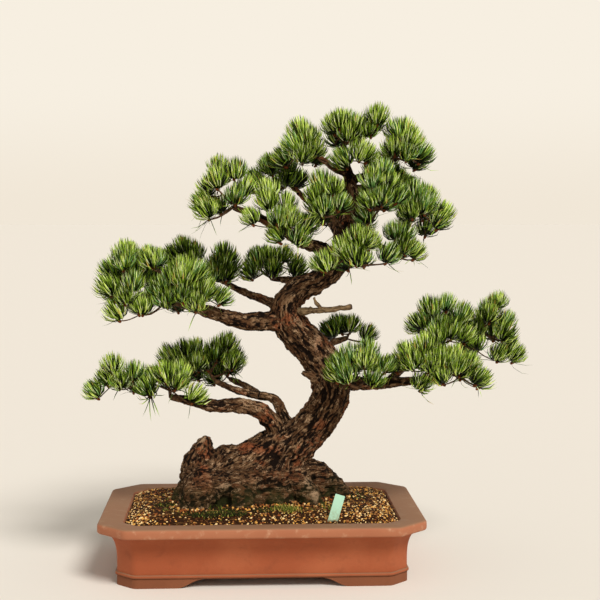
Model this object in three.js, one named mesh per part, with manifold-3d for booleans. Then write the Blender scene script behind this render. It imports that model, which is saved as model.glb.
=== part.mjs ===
// A Japanese white pine bonsai, about 0.69 m tall, in a shallow clay pot.
// Lengths are in millimetres, +Z is up and the front of the tree faces -Y.
// The tree is laid out round the middle of the pot's underside. At the end the whole
// group moves sideways, so that the origin lies under the middle of its spread.

import * as THREE from 'three';
import { mergeVertices } from 'three/addons/utils/BufferGeometryUtils.js';
import Module from 'manifold-3d';

const wasm = await Module();
wasm.setup();

// Pot: a chamfered rectangle with a rounded rim band, standing on four bracket feet
const POT = { width: 464, depth: 312, height: 89, corner: 41, rounding: 5 };
// The rim's rounding is given by insets: `under` with the rise above the band's foot, `over`
// with the depth under the rim's top
const RIM = { band: 14.2, width: 36, innerDrop: 2, innerSlope: 1.5, seam: 0.4,
              under: [[1.2, 0.8], [0, 3]], over: [[0, 4], [1, 1.4], [3.4, 0]] };
const WALL = { topInset: 13, footInset: 26.5, curve: 5, levels: [48, 63, 71], floor: 11,
               innerInset: 37, innerFootInset: 41 };
const MOULDING = { foot: 1, height: 5, proud: 2.5, slope: 1.5 };
const FOOT = { height: 13, inset: 26, thickness: 26, frontGap: 171, sideGap: 118, sweep: 35 };

// Soil: heaped a little under the tree, falling towards the rim. It lies below the rim's
// inner edge there, and its heap is level where the trunk is cut.
const SOIL = { top: 95, edge: 84, shoulder: 34, side: 4, bulge: 1.4 };
const LABEL = { width: 14, thickness: 1.2, length: 72, point: 12, chamfer: 0.8, x: 97.5, y: -109,
                buried: 30, leanRight: 17, leanBack: 8 };

// Clearance between neighbouring solids. A limb that another is cut by is made fatter by
// a little more than the gap, because its flat sides lie inside its radius.
const GAP = 0.3;
const CUT_GAP = 1.4 * GAP;

// How finely limbs are divided, and how far a limb has to be from a twig to be left out
const LIMB = { trunkSides: 10, boughSides: 6, ridgeSides: 5, forkSides: 5, trunkStep: 20,
               boughStep: 24, forkStep: 12, ridgeStep: 45, clearBeyond: 160 };

// Needles: a slim core on a twig, with spikes that stand out of it. A tuft's size varies
// from least to least plus range, and its axis leans outwards by its spread.
const TUFT = { reach: 35, leastReach: 0.45, coreWidth: 7.6, coreLength: 11, belowPoint: 0.7,
               sides: 4, spread: 0.75, lean: 0.3, upperRing: 38, lowerRing: 92, upperWidth: 1.15,
               spikeWidth: 1.2, jitter: 9, follow: 0.6, sizeLeast: 0.9, sizeRange: 0.2 };
const TWIG = { tip: 1.5, growth: 0.42, pathCost: 0.3, stem: 10, stemPlaces: [0.55, 0.8, 0.98],
               places: [0.4, 0.72], ofCarrier: 0.6, stemShare: 0.95, stemTaper: 0.8,
               limbClear: 2.4, sampleStep: 4 };
const GOLDEN = Math.PI * (3 - Math.sqrt(5));

// Trunk centreline from the soil to its tip: x, y, z and radius
const TRUNK = [
  [6, 5, 74, 56], [14, 4, 118, 45], [30, 2, 156, 36], [58, 1, 188, 30], [87, 2, 217, 27.5],
  [104, 6, 251, 28.5], [100, 8, 284, 28.5], [83, 6, 312, 27], [60, 2, 337, 26.5], [41, 0, 361, 25],
  [38, 2, 387, 21.5], [57, 4, 408, 18.5], [84, 4, 421, 16.5], [106, 1, 437, 15.5],
  [119, -2, 459, 14], [119, 0, 487, 13], [128, 6, 514, 11.5], [136, 10, 541, 10],
  [132, 8, 567, 8.8], [125, 4, 591, 7.4], [122, 0, 612, 6],
];

// Root flare: ridges that run from the foot of the trunk down into the soil
const FLARE = {
  dead_stub: [[-93, 5, 70, 44], [-93, 4, 144, 26], [-84, 2, 178, 13], [-80, 2, 191, 5]],
  shoulder: [[-62, 4, 120, 44], [-30, 2, 134, 42], [10, 2, 158, 39], [38, 1, 186, 29]],
  left: [[-60, 10, 132, 34], [-98, 26, 104, 28], [-124, 42, 76, 20]],
  left_front: [[-62, -8, 132, 34], [-92, -40, 112, 25], [-104, -64, 76, 20]],
  front: [[-16, -6, 128, 32], [-30, -38, 106, 19], [-34, -58, 76, 16]],
  front_right: [[20, -4, 130, 30], [16, -18, 104, 22], [14, -26, 76, 18]],
  right_front: [[34, 2, 142, 28], [66, -22, 112, 18], [84, -42, 76, 15]],
  right: [[44, 4, 140, 26], [82, 10, 133, 18], [108, 14, 114, 14], [130, 18, 86, 12]],
  right_foot: [[46, 8, 132, 28], [80, 14, 104, 22], [98, 18, 76, 16]],
  back_left: [[-46, 14, 128, 36], [-74, 44, 104, 26], [-92, 66, 76, 18]],
  back: [[0, 14, 128, 38], [-8, 46, 104, 26], [-12, 66, 76, 20]],
  back_right: [[36, 14, 132, 30], [62, 40, 104, 22], [76, 56, 76, 16]],
};
const MOUND = { centre: [-46, 2, 92], half: [62, 46, 86] };

// Boughs: each is one tapering limb. The first point lies inside the limb that carries it.
const BOUGHS = {
  bough_low_left: { on: 'trunk', route: [[26, 0, 188, 14], [15, -10, 214, 13], [-8, -18, 234, 11.8],
    [-36, -23, 241, 10.8], [-68, -30, 241, 10], [-96, -36, 248, 7.4], [-122, -40, 254, 5.6]] },
  bough_low_rear: { on: 'trunk', route: [[44, 10, 198, 10], [31, 16, 224, 8.4], [20, 22, 243, 7.2],
    [-4, 27, 248, 6.4], [-32, 33, 254, 5.8], [-60, 36, 265, 4.6]] },
  bough_low_back: { on: 'bough_low_rear', route: [[-2, 27, 248, 6.4], [-16, 62, 254, 5.4],
    [-40, 92, 262, 4.6]] },
  bough_mid_left: { on: 'trunk', route: [[46, 0, 360, 17], [8, -6, 362, 14.5], [-26, -14, 363, 12.8],
    [-62, -24, 374, 10.6], [-92, -36, 384, 8.2], [-118, -48, 392, 5.6]] },
  bough_mid_left_rear: { on: 'trunk', route: [[46, 4, 376, 10], [8, 24, 391, 7], [-28, 48, 404, 5.6],
    [-60, 62, 420, 4.4]] },
  bough_mid_rear: { on: 'trunk', route: [[62, 4, 411, 9], [46, 32, 420, 6], [24, 54, 422, 4.4]] },
  jin: { on: 'trunk', route: [[46, 0, 375, 8], [70, -23, 379, 5], [100, -33, 382, 4.4],
    [131, -40, 386, 4.1]], fork: [[88, -30, 381, 3.2], [80, -34, 391, 2.6], [76, -37, 399, 2]] },
  bough_right: { on: 'trunk', route: [[94, 4, 278, 13], [132, -10, 273, 10], [166, -22, 271, 8.8],
    [200, -34, 275, 7.6], [232, -42, 279, 6], [258, -46, 284, 4.8]] },
  bough_right_front: { on: 'bough_right', route: [[134, -11, 273, 7], [132, -38, 268, 5.4],
    [136, -58, 270, 4.2]] },
  bough_right_rear: { on: 'bough_right', route: [[184, -28, 273, 7], [204, -4, 286, 6],
    [230, 14, 305, 5.2], [256, 24, 324, 4.4]] },
  bough_elbow_rear: { on: 'trunk', route: [[84, 8, 306, 9], [102, 40, 322, 5.4], [126, 64, 328, 4]] },
  bough_upper_left: { on: 'trunk', route: [[118, 0, 452, 12], [88, -10, 469, 10.6],
    [54, -22, 483, 9], [21, -34, 503, 7.4], [-8, -41, 518, 6], [-30, -43, 526, 4.8]] },
  bough_upper_inner: { on: 'bough_upper_left', route: [[52, -22, 484, 6.5], [44, -38, 487, 5],
    [36, -50, 496, 4.2]] },
  bough_upper_rear: { on: 'trunk', route: [[120, 0, 489, 9], [98, 24, 515, 6], [72, 40, 538, 5],
    [50, 50, 560, 4.2]] },
  bough_crown_front_left: { on: 'trunk', route: [[120, 0, 492, 8], [113, -28, 502, 5],
    [104, -52, 512, 4]] },
  bough_crown_front: { on: 'trunk', route: [[131, 7, 521, 8], [146, -16, 523, 5.4],
    [162, -34, 527, 4.2]] },
  bough_crown_right: { on: 'trunk', route: [[136, 10, 545, 8], [164, 0, 540, 6.6],
    [190, -14, 536, 5.4], [208, -22, 528, 4.4]] },
  bough_crown_low_right: { on: 'trunk', route: [[124, 3, 503, 8], [144, -12, 494, 5.6],
    [164, -26, 479, 4.8], [182, -36, 468, 4]] },
  bough_crown_low: { on: 'trunk', route: [[118, -2, 456, 8], [126, -26, 452, 5.4],
    [134, -50, 448, 4.2]] },
  bough_crown_back: { on: 'trunk', route: [[126, 4, 508, 8], [130, 34, 514, 5.6],
    [132, 56, 516, 4.4]] },
  bough_crown_back_right: { on: 'trunk', route: [[134, 9, 556, 7], [158, 30, 560, 5.2],
    [180, 46, 562, 4.2]] },
  bough_apex_left: { on: 'trunk', route: [[128, 6, 580, 6.5], [104, 0, 590, 5], [82, -6, 606, 4.2]] },
  bough_apex_right: { on: 'trunk', route: [[132, 8, 570, 7], [158, 4, 578, 5.4],
    [184, 0, 594, 4.4]] },
};

// Foliage masses: the bough that each grows from, and the pads that it fills. A pad is an
// ellipsoid: its centre, its half-widths along X, Y and Z, and its number of tufts.
const MASSES = {
  foliage_low_left: { on: 'bough_low_left', pads: [
    { at: [-202, -50, 280], half: [38, 28, 18], tufts: 6 },
    { at: [-138, -46, 277], half: [36, 30, 15], tufts: 6 }] },
  foliage_low_rear: { on: 'bough_low_rear', pads: [
    { at: [-112, 28, 303], half: [30, 26, 12], tufts: 5 },
    { at: [-60, 34, 303], half: [24, 26, 19], tufts: 5 }] },
  foliage_low_back: { on: 'bough_low_back', pads: [
    { at: [-72, 98, 282], half: [44, 26, 13], tufts: 5 }] },
  foliage_mid_left: { on: 'bough_mid_left', pads: [
    { at: [-192, -62, 436], half: [27, 30, 34], tufts: 8 },
    { at: [-106, -60, 417], half: [47, 30, 22], tufts: 8 },
    { at: [-152, -50, 450], half: [16, 24, 6], tufts: 3 },
    { at: [-178, -76, 381], half: [34, 13, 6], tufts: 3 }] },
  foliage_mid_left_rear: { on: 'bough_mid_left_rear', pads: [
    { at: [-116, 52, 452], half: [26, 26, 15], tufts: 5 },
    { at: [-60, 72, 440], half: [20, 28, 16], tufts: 4 },
    { at: [-166, 62, 418], half: [24, 26, 12], tufts: 3 }] },
  foliage_mid_rear: { on: 'bough_mid_rear', pads: [
    { at: [14, 70, 444], half: [46, 30, 13], tufts: 6 }] },
  foliage_right_front: { on: 'bough_right_front', pads: [
    { at: [142, -68, 304], half: [48, 28, 19], tufts: 7 }] },
  foliage_right: { on: 'bough_right', pads: [
    { at: [226, -60, 307], half: [44, 26, 20], tufts: 7 },
    { at: [280, -48, 297], half: [33, 28, 15], tufts: 6 }] },
  foliage_right_rear: { on: 'bough_right_rear', pads: [
    { at: [276, 38, 362], half: [42, 32, 18], tufts: 6 },
    { at: [276, -10, 332], half: [42, 20, 12], tufts: 5 },
    { at: [350, 28, 348], half: [37, 32, 34], tufts: 7 }] },
  foliage_elbow_rear: { on: 'bough_elbow_rear', pads: [
    { at: [127, 80, 339], half: [43, 20, 6], tufts: 5 }] },
  foliage_upper_left: { on: 'bough_upper_left', pads: [
    { at: [-51, -38, 558], half: [42, 32, 30], tufts: 9 }] },
  foliage_upper_inner: { on: 'bough_upper_inner', pads: [
    { at: [14, -54, 529], half: [30, 24, 20], tufts: 5 },
    { at: [46, -60, 501], half: [28, 22, 16], tufts: 4 }] },
  foliage_upper_rear: { on: 'bough_upper_rear', pads: [
    { at: [24, 55, 582], half: [34, 30, 16], tufts: 7 }] },
  foliage_crown_front_left: { on: 'bough_crown_front_left', pads: [
    { at: [92, -66, 542], half: [26, 24, 25], tufts: 7 }] },
  foliage_crown_front: { on: 'bough_crown_front', pads: [
    { at: [170, -50, 547], half: [27, 26, 33], tufts: 7 }] },
  foliage_crown_right: { on: 'bough_crown_right', pads: [
    { at: [232, -28, 527], half: [30, 30, 25], tufts: 7 }] },
  foliage_crown_low_right: { on: 'bough_crown_low_right', pads: [
    { at: [197, -45, 480], half: [26, 26, 17], tufts: 5 }] },
  foliage_crown_low: { on: 'bough_crown_low', pads: [
    { at: [146, -70, 470], half: [48, 22, 18], tufts: 7 },
    { at: [89, -62, 447], half: [4, 6, 3], tufts: 2 }] },
  foliage_crown_back: { on: 'bough_crown_back', pads: [
    { at: [122, 82, 530], half: [44, 26, 24], tufts: 5 }] },
  foliage_crown_back_right: { on: 'bough_crown_back_right', pads: [
    { at: [206, 58, 560], half: [26, 28, 18], tufts: 5 }] },
  foliage_apex_left: { on: 'bough_apex_left', pads: [
    { at: [64, -8, 621], half: [27, 28, 21], tufts: 6 }] },
  foliage_apex: { on: 'trunk', pads: [
    { at: [124, 2, 640], half: [36, 26, 18], tufts: 6 },
    { at: [168, -4, 650], half: [12, 14, 16], tufts: 3 },
    { at: [146, -26, 600], half: [26, 12, 8], tufts: 3 }] },
  foliage_apex_right: { on: 'bough_apex_right', pads: [
    { at: [210, 0, 618], half: [28, 30, 28], tufts: 7 }] },
};

// Colours of the finishes
const COLOUR = { clay: 0xa05a37, soil: 0xb0956b, bark: 0x4a3a2e, deadwood: 0x9c8f80,
                 needles: 0x7d9a3c, label: 0xa9d3bd };

// Numbers that follow one another by a fixed rule, from 0 up to 1
function seeded(seed) {
  let state = seed >>> 0;
  return () => {
    state = (state + 0x6d2b79f5) >>> 0;
    let mixed = Math.imul(state ^ (state >>> 15), state | 1);
    mixed ^= mixed + Math.imul(mixed ^ (mixed >>> 7), mixed | 61);
    return ((mixed ^ (mixed >>> 14)) >>> 0) / 4294967296;
  };
}

// Solids and meshes

function toSolid(geometry) {
  const bare = geometry.clone();
  for (const name of ['normal', 'uv']) bare.deleteAttribute(name);
  const merged = mergeVertices(bare, 1e-4);
  return new wasm.Manifold(new wasm.Mesh({
    numProp: 3,
    vertProperties: new Float32Array(merged.attributes.position.array),
    triVerts: new Uint32Array(merged.index.array),
  }));
}

function toGeometry(solid) {
  const { vertProperties, triVerts } = solid.getMesh();
  const geometry = new THREE.BufferGeometry();
  geometry.setAttribute('position', new THREE.BufferAttribute(new Float32Array(vertProperties), 3));
  geometry.setIndex(new THREE.BufferAttribute(new Uint32Array(triVerts), 1));
  geometry.computeVertexNormals();
  return geometry;
}

function joined(solids) {
  return wasm.Manifold.union(solids);
}

// The largest body of a solid: any scrap that a cut leaves loose is dropped
function largest(solid) {
  const bodies = solid.decompose();
  bodies.sort((a, b) => b.volume() - a.volume());
  return bodies[0];
}

// A closed solid through outlines of equal length, from the lowest to the highest
function loft(outlines) {
  const count = outlines[0].length;
  const corners = outlines.flat();
  const faces = [];
  for (let level = 0; level < outlines.length - 1; level++) {
    for (let i = 0; i < count; i++) {
      const a = level * count + i;
      const b = level * count + ((i + 1) % count);
      faces.push(a, b, b + count, a, b + count, a + count);
    }
  }
  const last = (outlines.length - 1) * count;
  for (let i = 1; i < count - 1; i++) {
    faces.push(0, i + 1, i);
    faces.push(last, last + i, last + i + 1);
  }
  const geometry = new THREE.BufferGeometry().setFromPoints(corners);
  geometry.setIndex(faces);
  return toSolid(geometry);
}

// Limbs

// Even steps along a smooth curve through a route's points, each with its radius
function trace(route, step) {
  const curve = new THREE.CatmullRomCurve3(
    route.map(([x, y, z]) => new THREE.Vector3(x, y, z)), false, 'catmullrom', 0.5);
  let length = 0;
  for (let i = 1; i < route.length; i++) length += curve.points[i].distanceTo(curve.points[i - 1]);
  const steps = Math.max(2, Math.round(length / step));
  const stations = [];
  for (let i = 0; i <= steps; i++) {
    const t = i / steps;
    const place = t * (route.length - 1);
    const before = Math.min(Math.floor(place), route.length - 2);
    const radius = THREE.MathUtils.lerp(route[before][3], route[before + 1][3], place - before);
    stations.push({ point: curve.getPoint(t), radius });
  }
  return stations;
}

// A limb's solid: short tapered lengths from station to station, joined
function tube(stations, sides, extra = 0) {
  const rings = [];
  const tangent = new THREE.Vector3();
  const normal = new THREE.Vector3(0, 1, 0);
  stations.forEach((station, i) => {
    const next = stations[Math.min(i + 1, stations.length - 1)].point;
    const previous = stations[Math.max(i - 1, 0)].point;
    tangent.subVectors(next, previous).normalize();
    if (i === 0 && Math.abs(tangent.y) > 0.8) normal.set(1, 0, 0);
    normal.addScaledVector(tangent, -tangent.dot(normal)).normalize();
    const binormal = new THREE.Vector3().crossVectors(tangent, normal);
    const ring = [];
    for (let k = 0; k < sides; k++) {
      const angle = (2 * Math.PI * k) / sides;
      ring.push(station.point.clone()
        .addScaledVector(normal, Math.cos(angle) * (station.radius + extra))
        .addScaledVector(binormal, Math.sin(angle) * (station.radius + extra)));
    }
    rings.push(ring);
  });
  const lengths = [];
  for (let i = 0; i < rings.length - 1; i++) lengths.push(loft([rings[i], rings[i + 1]]));
  return joined(lengths);
}

// The gap between two straight pieces, with how far along the second its nearest point is
function segmentGap(p, q, a, b) {
  const along = new THREE.Vector3().subVectors(q, p);
  const other = new THREE.Vector3().subVectors(b, a);
  const between = new THREE.Vector3().subVectors(p, a);
  const aa = along.dot(along);
  const bb = other.dot(other);
  const ab = along.dot(other);
  const ac = along.dot(between);
  const bc = other.dot(between);
  const clamp = (value) => Math.min(1, Math.max(0, value));
  const spread = aa * bb - ab * ab;
  let s = spread > 1e-9 ? clamp((ab * bc - ac * bb) / spread) : 0;
  const t = clamp((ab * s + bc) / bb);
  s = clamp((ab * t - ac) / aa);
  const nearest = between.clone().addScaledVector(along, s).addScaledVector(other, -t);
  return [nearest.length(), t];
}

// The clear distance from a straight piece to the nearest limb
function limbClearance(p, q) {
  let least = Infinity;
  for (const { a, b } of limbPieces) {
    if (a.point.distanceTo(p) > LIMB.clearBeyond) continue;
    const [distance, t] = segmentGap(p, q, a.point, b.point);
    least = Math.min(least, distance - THREE.MathUtils.lerp(a.radius, b.radius, t));
  }
  return least;
}

function registerLimb(stations) {
  for (let i = 0; i < stations.length - 1; i++) {
    limbPieces.push({ a: stations[i], b: stations[i + 1] });
  }
}

const limbPieces = [];
const fatLimbs = {};
const limbEnds = {};

function limbEnd(stations) {
  const tip = stations[stations.length - 1];
  const before = stations[stations.length - 2];
  const direction = new THREE.Vector3().subVectors(tip.point, before.point).normalize();
  return { point: tip.point, direction, radius: tip.radius };
}

function trunkSolid() {
  const stations = trace(TRUNK, LIMB.trunkStep);
  registerLimb(stations);
  limbEnds.trunk = limbEnd(stations);
  const mound = new THREE.SphereGeometry(1, 10, 6).rotateX(Math.PI / 2)
    .scale(...MOUND.half).translate(...MOUND.centre);
  const ridges = Object.values(FLARE).map((route) => tube(trace(route, LIMB.ridgeStep), LIMB.ridgeSides));
  const below = new THREE.BoxGeometry(POT.width, POT.depth, SOIL.top)
    .translate(0, 0, SOIL.top / 2 + GAP);
  const shoulder = trace(FLARE.shoulder, LIMB.ridgeStep);
  fatLimbs.trunk = joined([tube(stations, LIMB.trunkSides, CUT_GAP),
                           tube(shoulder, LIMB.ridgeSides, CUT_GAP)]);
  const whole = joined([tube(stations, LIMB.trunkSides), toSolid(mound), ...ridges]);
  return largest(whole.subtract(toSolid(below)));
}

function boughSolid(name, { on, route, fork }) {
  const stations = trace(route, LIMB.boughStep);
  registerLimb(stations);
  limbEnds[name] = limbEnd(stations);
  let solid = tube(stations, LIMB.boughSides);
  fatLimbs[name] = tube(stations, LIMB.boughSides, CUT_GAP);
  if (fork) {
    const side = trace(fork, LIMB.forkStep);
    registerLimb(side);
    solid = solid.add(tube(side, LIMB.forkSides));
  }
  if (on !== 'trunk') solid = solid.subtract(fatLimbs.trunk);
  return largest(solid.subtract(fatLimbs[on]));
}

// Foliage

// The walls of a pad's own space: flat, between it and each pad of the other masses
function padWalls(name, pad) {
  const centre = new THREE.Vector3(...pad.at);
  const size = (half) => (half[0] + half[1] + half[2]) / 3;
  const walls = [];
  for (const [otherName, other] of Object.entries(MASSES)) {
    if (otherName === name) continue;
    for (const otherPad of other.pads) {
      const normal = new THREE.Vector3(...otherPad.at).sub(centre);
      const distance = normal.length();
      normal.divideScalar(distance);
      const own = size(pad.half);
      const its = size(otherPad.half);
      const offset = (distance * distance + own * own - its * its) / (2 * distance);
      walls.push({ normal, limit: normal.dot(centre) + offset });
    }
  }
  return walls;
}

function roomInside(walls, point) {
  let room = Infinity;
  for (const { normal, limit } of walls) room = Math.min(room, limit - normal.dot(point));
  return room;
}

// A twig keeps to the spaces of its own mass over its whole length
function twigKeepsIn(spaces, from, to, radius) {
  const steps = Math.max(1, Math.ceil(from.distanceTo(to) / TWIG.sampleStep));
  for (let i = 0; i <= steps; i++) {
    const point = from.clone().lerp(to, i / steps);
    const room = Math.max(...spaces.map((walls) => roomInside(walls, point)));
    if (room < radius + GAP) return false;
  }
  return true;
}

// The places of a mass's tufts: a spiral over each pad, high in the middle and low at the rim
function layTufts(mass, rand) {
  const tufts = [];
  mass.pads.forEach((pad, padIndex) => {
    const turn = rand() * 2 * Math.PI;
    for (let i = 0; i < pad.tufts; i++) {
      const rho = Math.sqrt((i + 0.5) / pad.tufts);
      const theta = turn + i * GOLDEN;
      const out = [rho * Math.cos(theta), rho * Math.sin(theta)];
      const point = new THREE.Vector3(
        pad.at[0] + pad.half[0] * out[0] + TUFT.jitter * (rand() - 0.5),
        pad.at[1] + pad.half[1] * out[1] + TUFT.jitter * (rand() - 0.5),
        pad.at[2] + pad.half[2] * (1 - 2 * rho * rho) + TUFT.jitter * (rand() - 0.5));
      const axis = new THREE.Vector3(
        TUFT.spread * out[0] + TUFT.lean * (rand() - 0.5),
        TUFT.spread * out[1] + TUFT.lean * (rand() - 0.5), 1).normalize();
      const size = TUFT.sizeLeast + TUFT.sizeRange * rand();
      tufts.push({ point, axis, size, padIndex, spin: rand() * 2 * Math.PI });
    }
  });
  return tufts;
}

// Twigs that branch from one stem to the tufts, nearest first. Each twig, and the stem,
// offers places at fixed shares of its length, and each place carries one twig.
function growTwigs(mass, name, rand) {
  const end = limbEnds[mass.on];
  const spaces = mass.pads.map((pad) => padWalls(name, pad));
  const root = end.point.clone().addScaledVector(end.direction, GAP);
  const stemTip = root.clone().addScaledVector(end.direction, TWIG.stem);
  const stem = { from: root, to: stemTip, above: null, load: 0, path: 0 };
  const places = [];
  const offer = (twig, shares) => shares.forEach((share) => places.push({
    point: twig.from.clone().lerp(twig.to, share), twig,
    path: twig.path + twig.from.distanceTo(twig.to) * share }));
  offer(stem, TWIG.stemPlaces);
  const tufts = layTufts(mass, rand);
  for (const tuft of tufts) tuft.reach = tuft.point.distanceTo(stemTip);
  tufts.sort((a, b) => a.reach - b.reach);
  const twigs = [];
  for (const tuft of tufts) {
    const base = tuft.point.clone().addScaledVector(tuft.axis, -TUFT.coreLength * TUFT.belowPoint);
    if (roomInside(spaces[tuft.padIndex], tuft.point) < TUFT.coreLength + GAP) continue;
    if (limbClearance(base, tuft.point) < TUFT.coreWidth * tuft.size + 2 * GAP) continue;
    let best = null;
    for (const place of places) {
      const length = place.point.distanceTo(base);
      const cost = length + TWIG.pathCost * place.path;
      if (best && cost >= best.cost) continue;
      if (length < 2 * TWIG.tip) continue;
      if (!twigKeepsIn(spaces, place.point, base, 2 * TWIG.tip)) continue;
      if (limbClearance(place.point, base) < TWIG.limbClear * TWIG.tip + GAP) continue;
      best = { place, cost };
    }
    if (!best) continue;
    places.splice(places.indexOf(best.place), 1);
    const twig = { from: best.place.point, to: base, above: best.place.twig,
                   load: 0, path: best.place.path, tuft };
    const along = new THREE.Vector3().subVectors(twig.to, twig.from).normalize();
    tuft.axis.addScaledVector(along, TUFT.follow).normalize();
    for (let carrier = twig; carrier; carrier = carrier.above) carrier.load += 1;
    offer(twig, TWIG.places);
    twigs.push(twig);
  }
  stem.start = end.radius * TWIG.stemShare;
  for (const twig of twigs) {
    const thick = TWIG.tip * Math.pow(twig.load, TWIG.growth);
    twig.start = Math.min(thick, TWIG.ofCarrier * twig.above.start);
    twig.end = Math.min(TWIG.tip, twig.start);
  }
  stem.end = stem.start * TWIG.stemTaper;
  return { stem, twigs, spaces };
}

// A mass's stem: three-sided, with a flat end that faces the end of its bough
function stemSolid({ from, to, start, end }) {
  const along = new THREE.Vector3().subVectors(to, from).normalize();
  const side = new THREE.Vector3(along.z, along.x, along.y).cross(along).normalize();
  const third = new THREE.Vector3().crossVectors(along, side);
  const outline = (centre, radius) => [0, 1, 2].map((k) => centre.clone()
    .addScaledVector(side, Math.cos((2 * Math.PI * k) / 3) * radius)
    .addScaledVector(third, Math.sin((2 * Math.PI * k) / 3) * radius));
  return loft([outline(from, start), outline(to, end)]);
}

// A tuft of needles on its twig: a slim core with a spike on each upper face, whose lower
// end narrows into the twig
function tuftSolid({ from, to, start, end, tuft }, walls, otherTwigs) {
  const { sides } = TUFT;
  const reach = TUFT.reach * tuft.size;
  const width = TUFT.coreWidth * tuft.size;
  const side = new THREE.Vector3(1, 0, 0);
  if (Math.abs(tuft.axis.x) > 0.8) side.set(0, 1, 0);
  const ring = (centre, axis, radius, polar, halfStep = 0) => {
    const across = side.clone().addScaledVector(axis, -side.dot(axis)).normalize();
    const third = new THREE.Vector3().crossVectors(axis, across);
    return Array.from({ length: sides }, (_, k) => {
      const turn = tuft.spin + (2 * Math.PI * (k + halfStep)) / sides;
      return centre.clone().addScaledVector(axis, Math.cos(polar) * radius)
        .addScaledVector(across, Math.sin(polar) * Math.cos(turn) * radius)
        .addScaledVector(third, Math.sin(polar) * Math.sin(turn) * radius);
    });
  };
  const along = new THREE.Vector3().subVectors(to, from).normalize();
  const upper = THREE.MathUtils.degToRad(TUFT.upperRing);
  const lower = THREE.MathUtils.degToRad(TUFT.lowerRing);
  const corners = [
    tuft.point.clone().addScaledVector(tuft.axis, TUFT.coreLength),
    ...ring(from, along, start, Math.PI / 2), ...ring(to, along, end, Math.PI / 2),
    ...ring(tuft.point, tuft.axis, width, lower),
    ...ring(tuft.point, tuft.axis, width * TUFT.upperWidth, upper, 0.5),
  ];
  const faces = [];
  for (let k = 1; k < sides - 1; k++) faces.push([1, 1 + k + 1, 1 + k]);
  for (let level = 0; level < 2; level++) {
    for (let k = 0; k < sides; k++) {
      const low = 1 + level * sides + k;
      const nextLow = 1 + level * sides + ((k + 1) % sides);
      faces.push([low, nextLow, nextLow + sides], [low, nextLow + sides, low + sides]);
    }
  }
  const spiked = [];
  for (let k = 0; k < sides; k++) {
    const low = 1 + 2 * sides + k;
    const nextLow = 1 + 2 * sides + ((k + 1) % sides);
    const high = low + sides;
    const nextHigh = nextLow + sides;
    spiked.push([low, nextLow, high], [nextLow, nextHigh, high], [high, nextHigh, 0]);
  }
  for (const [a, b, c] of spiked) {
    const foot = corners[a].clone().add(corners[b]).add(corners[c]).divideScalar(3);
    const direction = new THREE.Vector3().subVectors(foot, tuft.point).normalize();
    let length = reach;
    for (const { normal, limit } of walls) {
      const slope = normal.dot(direction);
      if (slope > 0) length = Math.min(length, (limit - GAP - normal.dot(tuft.point)) / slope);
    }
    const tip = tuft.point.clone().addScaledVector(direction, length);
    const blocked = limbClearance(foot, tip) < TUFT.spikeWidth + GAP
      || otherTwigs.some(({ from, to }) => segmentGap(foot, tip, from, to)[0] < 2 * TWIG.tip);
    if (blocked || length < reach * TUFT.leastReach) {
      faces.push([a, b, c]);
      continue;
    }
    const apex = corners.push(tip) - 1;
    faces.push([a, b, apex], [b, c, apex], [c, a, apex]);
  }
  const geometry = new THREE.BufferGeometry().setFromPoints(corners);
  geometry.setIndex(faces.flat());
  return toSolid(geometry);
}

// The walls of a tuft's own space: those of its pad, and one half way to each other tuft
function tuftWalls(tuft, twigs, padSpace) {
  const walls = [...padSpace];
  for (const { tuft: other } of twigs) {
    if (other === tuft) continue;
    const normal = new THREE.Vector3().subVectors(other.point, tuft.point);
    const distance = normal.length();
    normal.divideScalar(distance);
    walls.push({ normal, limit: normal.dot(tuft.point) + distance / 2 });
  }
  return walls;
}

function massSolid(name, mass, seed) {
  const { stem, twigs, spaces } = growTwigs(mass, name, seeded(seed));
  const solids = [stemSolid(stem)];
  for (const twig of twigs) {
    const walls = tuftWalls(twig.tuft, twigs, spaces[twig.tuft.padIndex]);
    solids.push(tuftSolid(twig, walls, twigs.filter((other) => other !== twig)));
  }
  return largest(joined(solids));
}

// Pot, soil and label

// The pot's outline at a height, drawn in by an inset: eight rounded corners
function potOutline(inset, z) {
  const x = POT.width / 2 - inset;
  const y = POT.depth / 2 - inset;
  const cut = Math.max(12, POT.corner - inset * (2 - Math.SQRT2));
  const corners = [[x, -y + cut], [x, y - cut], [x - cut, y], [-x + cut, y],
                   [-x, y - cut], [-x, -y + cut], [-x + cut, -y], [x - cut, -y]];
  return corners.flatMap(([cx, cy], i) => {
    const corner = new THREE.Vector3(cx, cy, z);
    return [corners[(i + 7) % 8], corners[(i + 1) % 8]].map(([nx, ny]) => {
      const towards = new THREE.Vector3(nx, ny, z).sub(corner).normalize();
      return corner.clone().addScaledVector(towards, POT.rounding);
    });
  });
}

function wallInset(z) {
  const top = POT.height - RIM.band;
  const rise = (z - FOOT.height) / (top - FOOT.height);
  return WALL.footInset - (WALL.footInset - WALL.topInset) * Math.pow(rise, WALL.curve);
}

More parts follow.
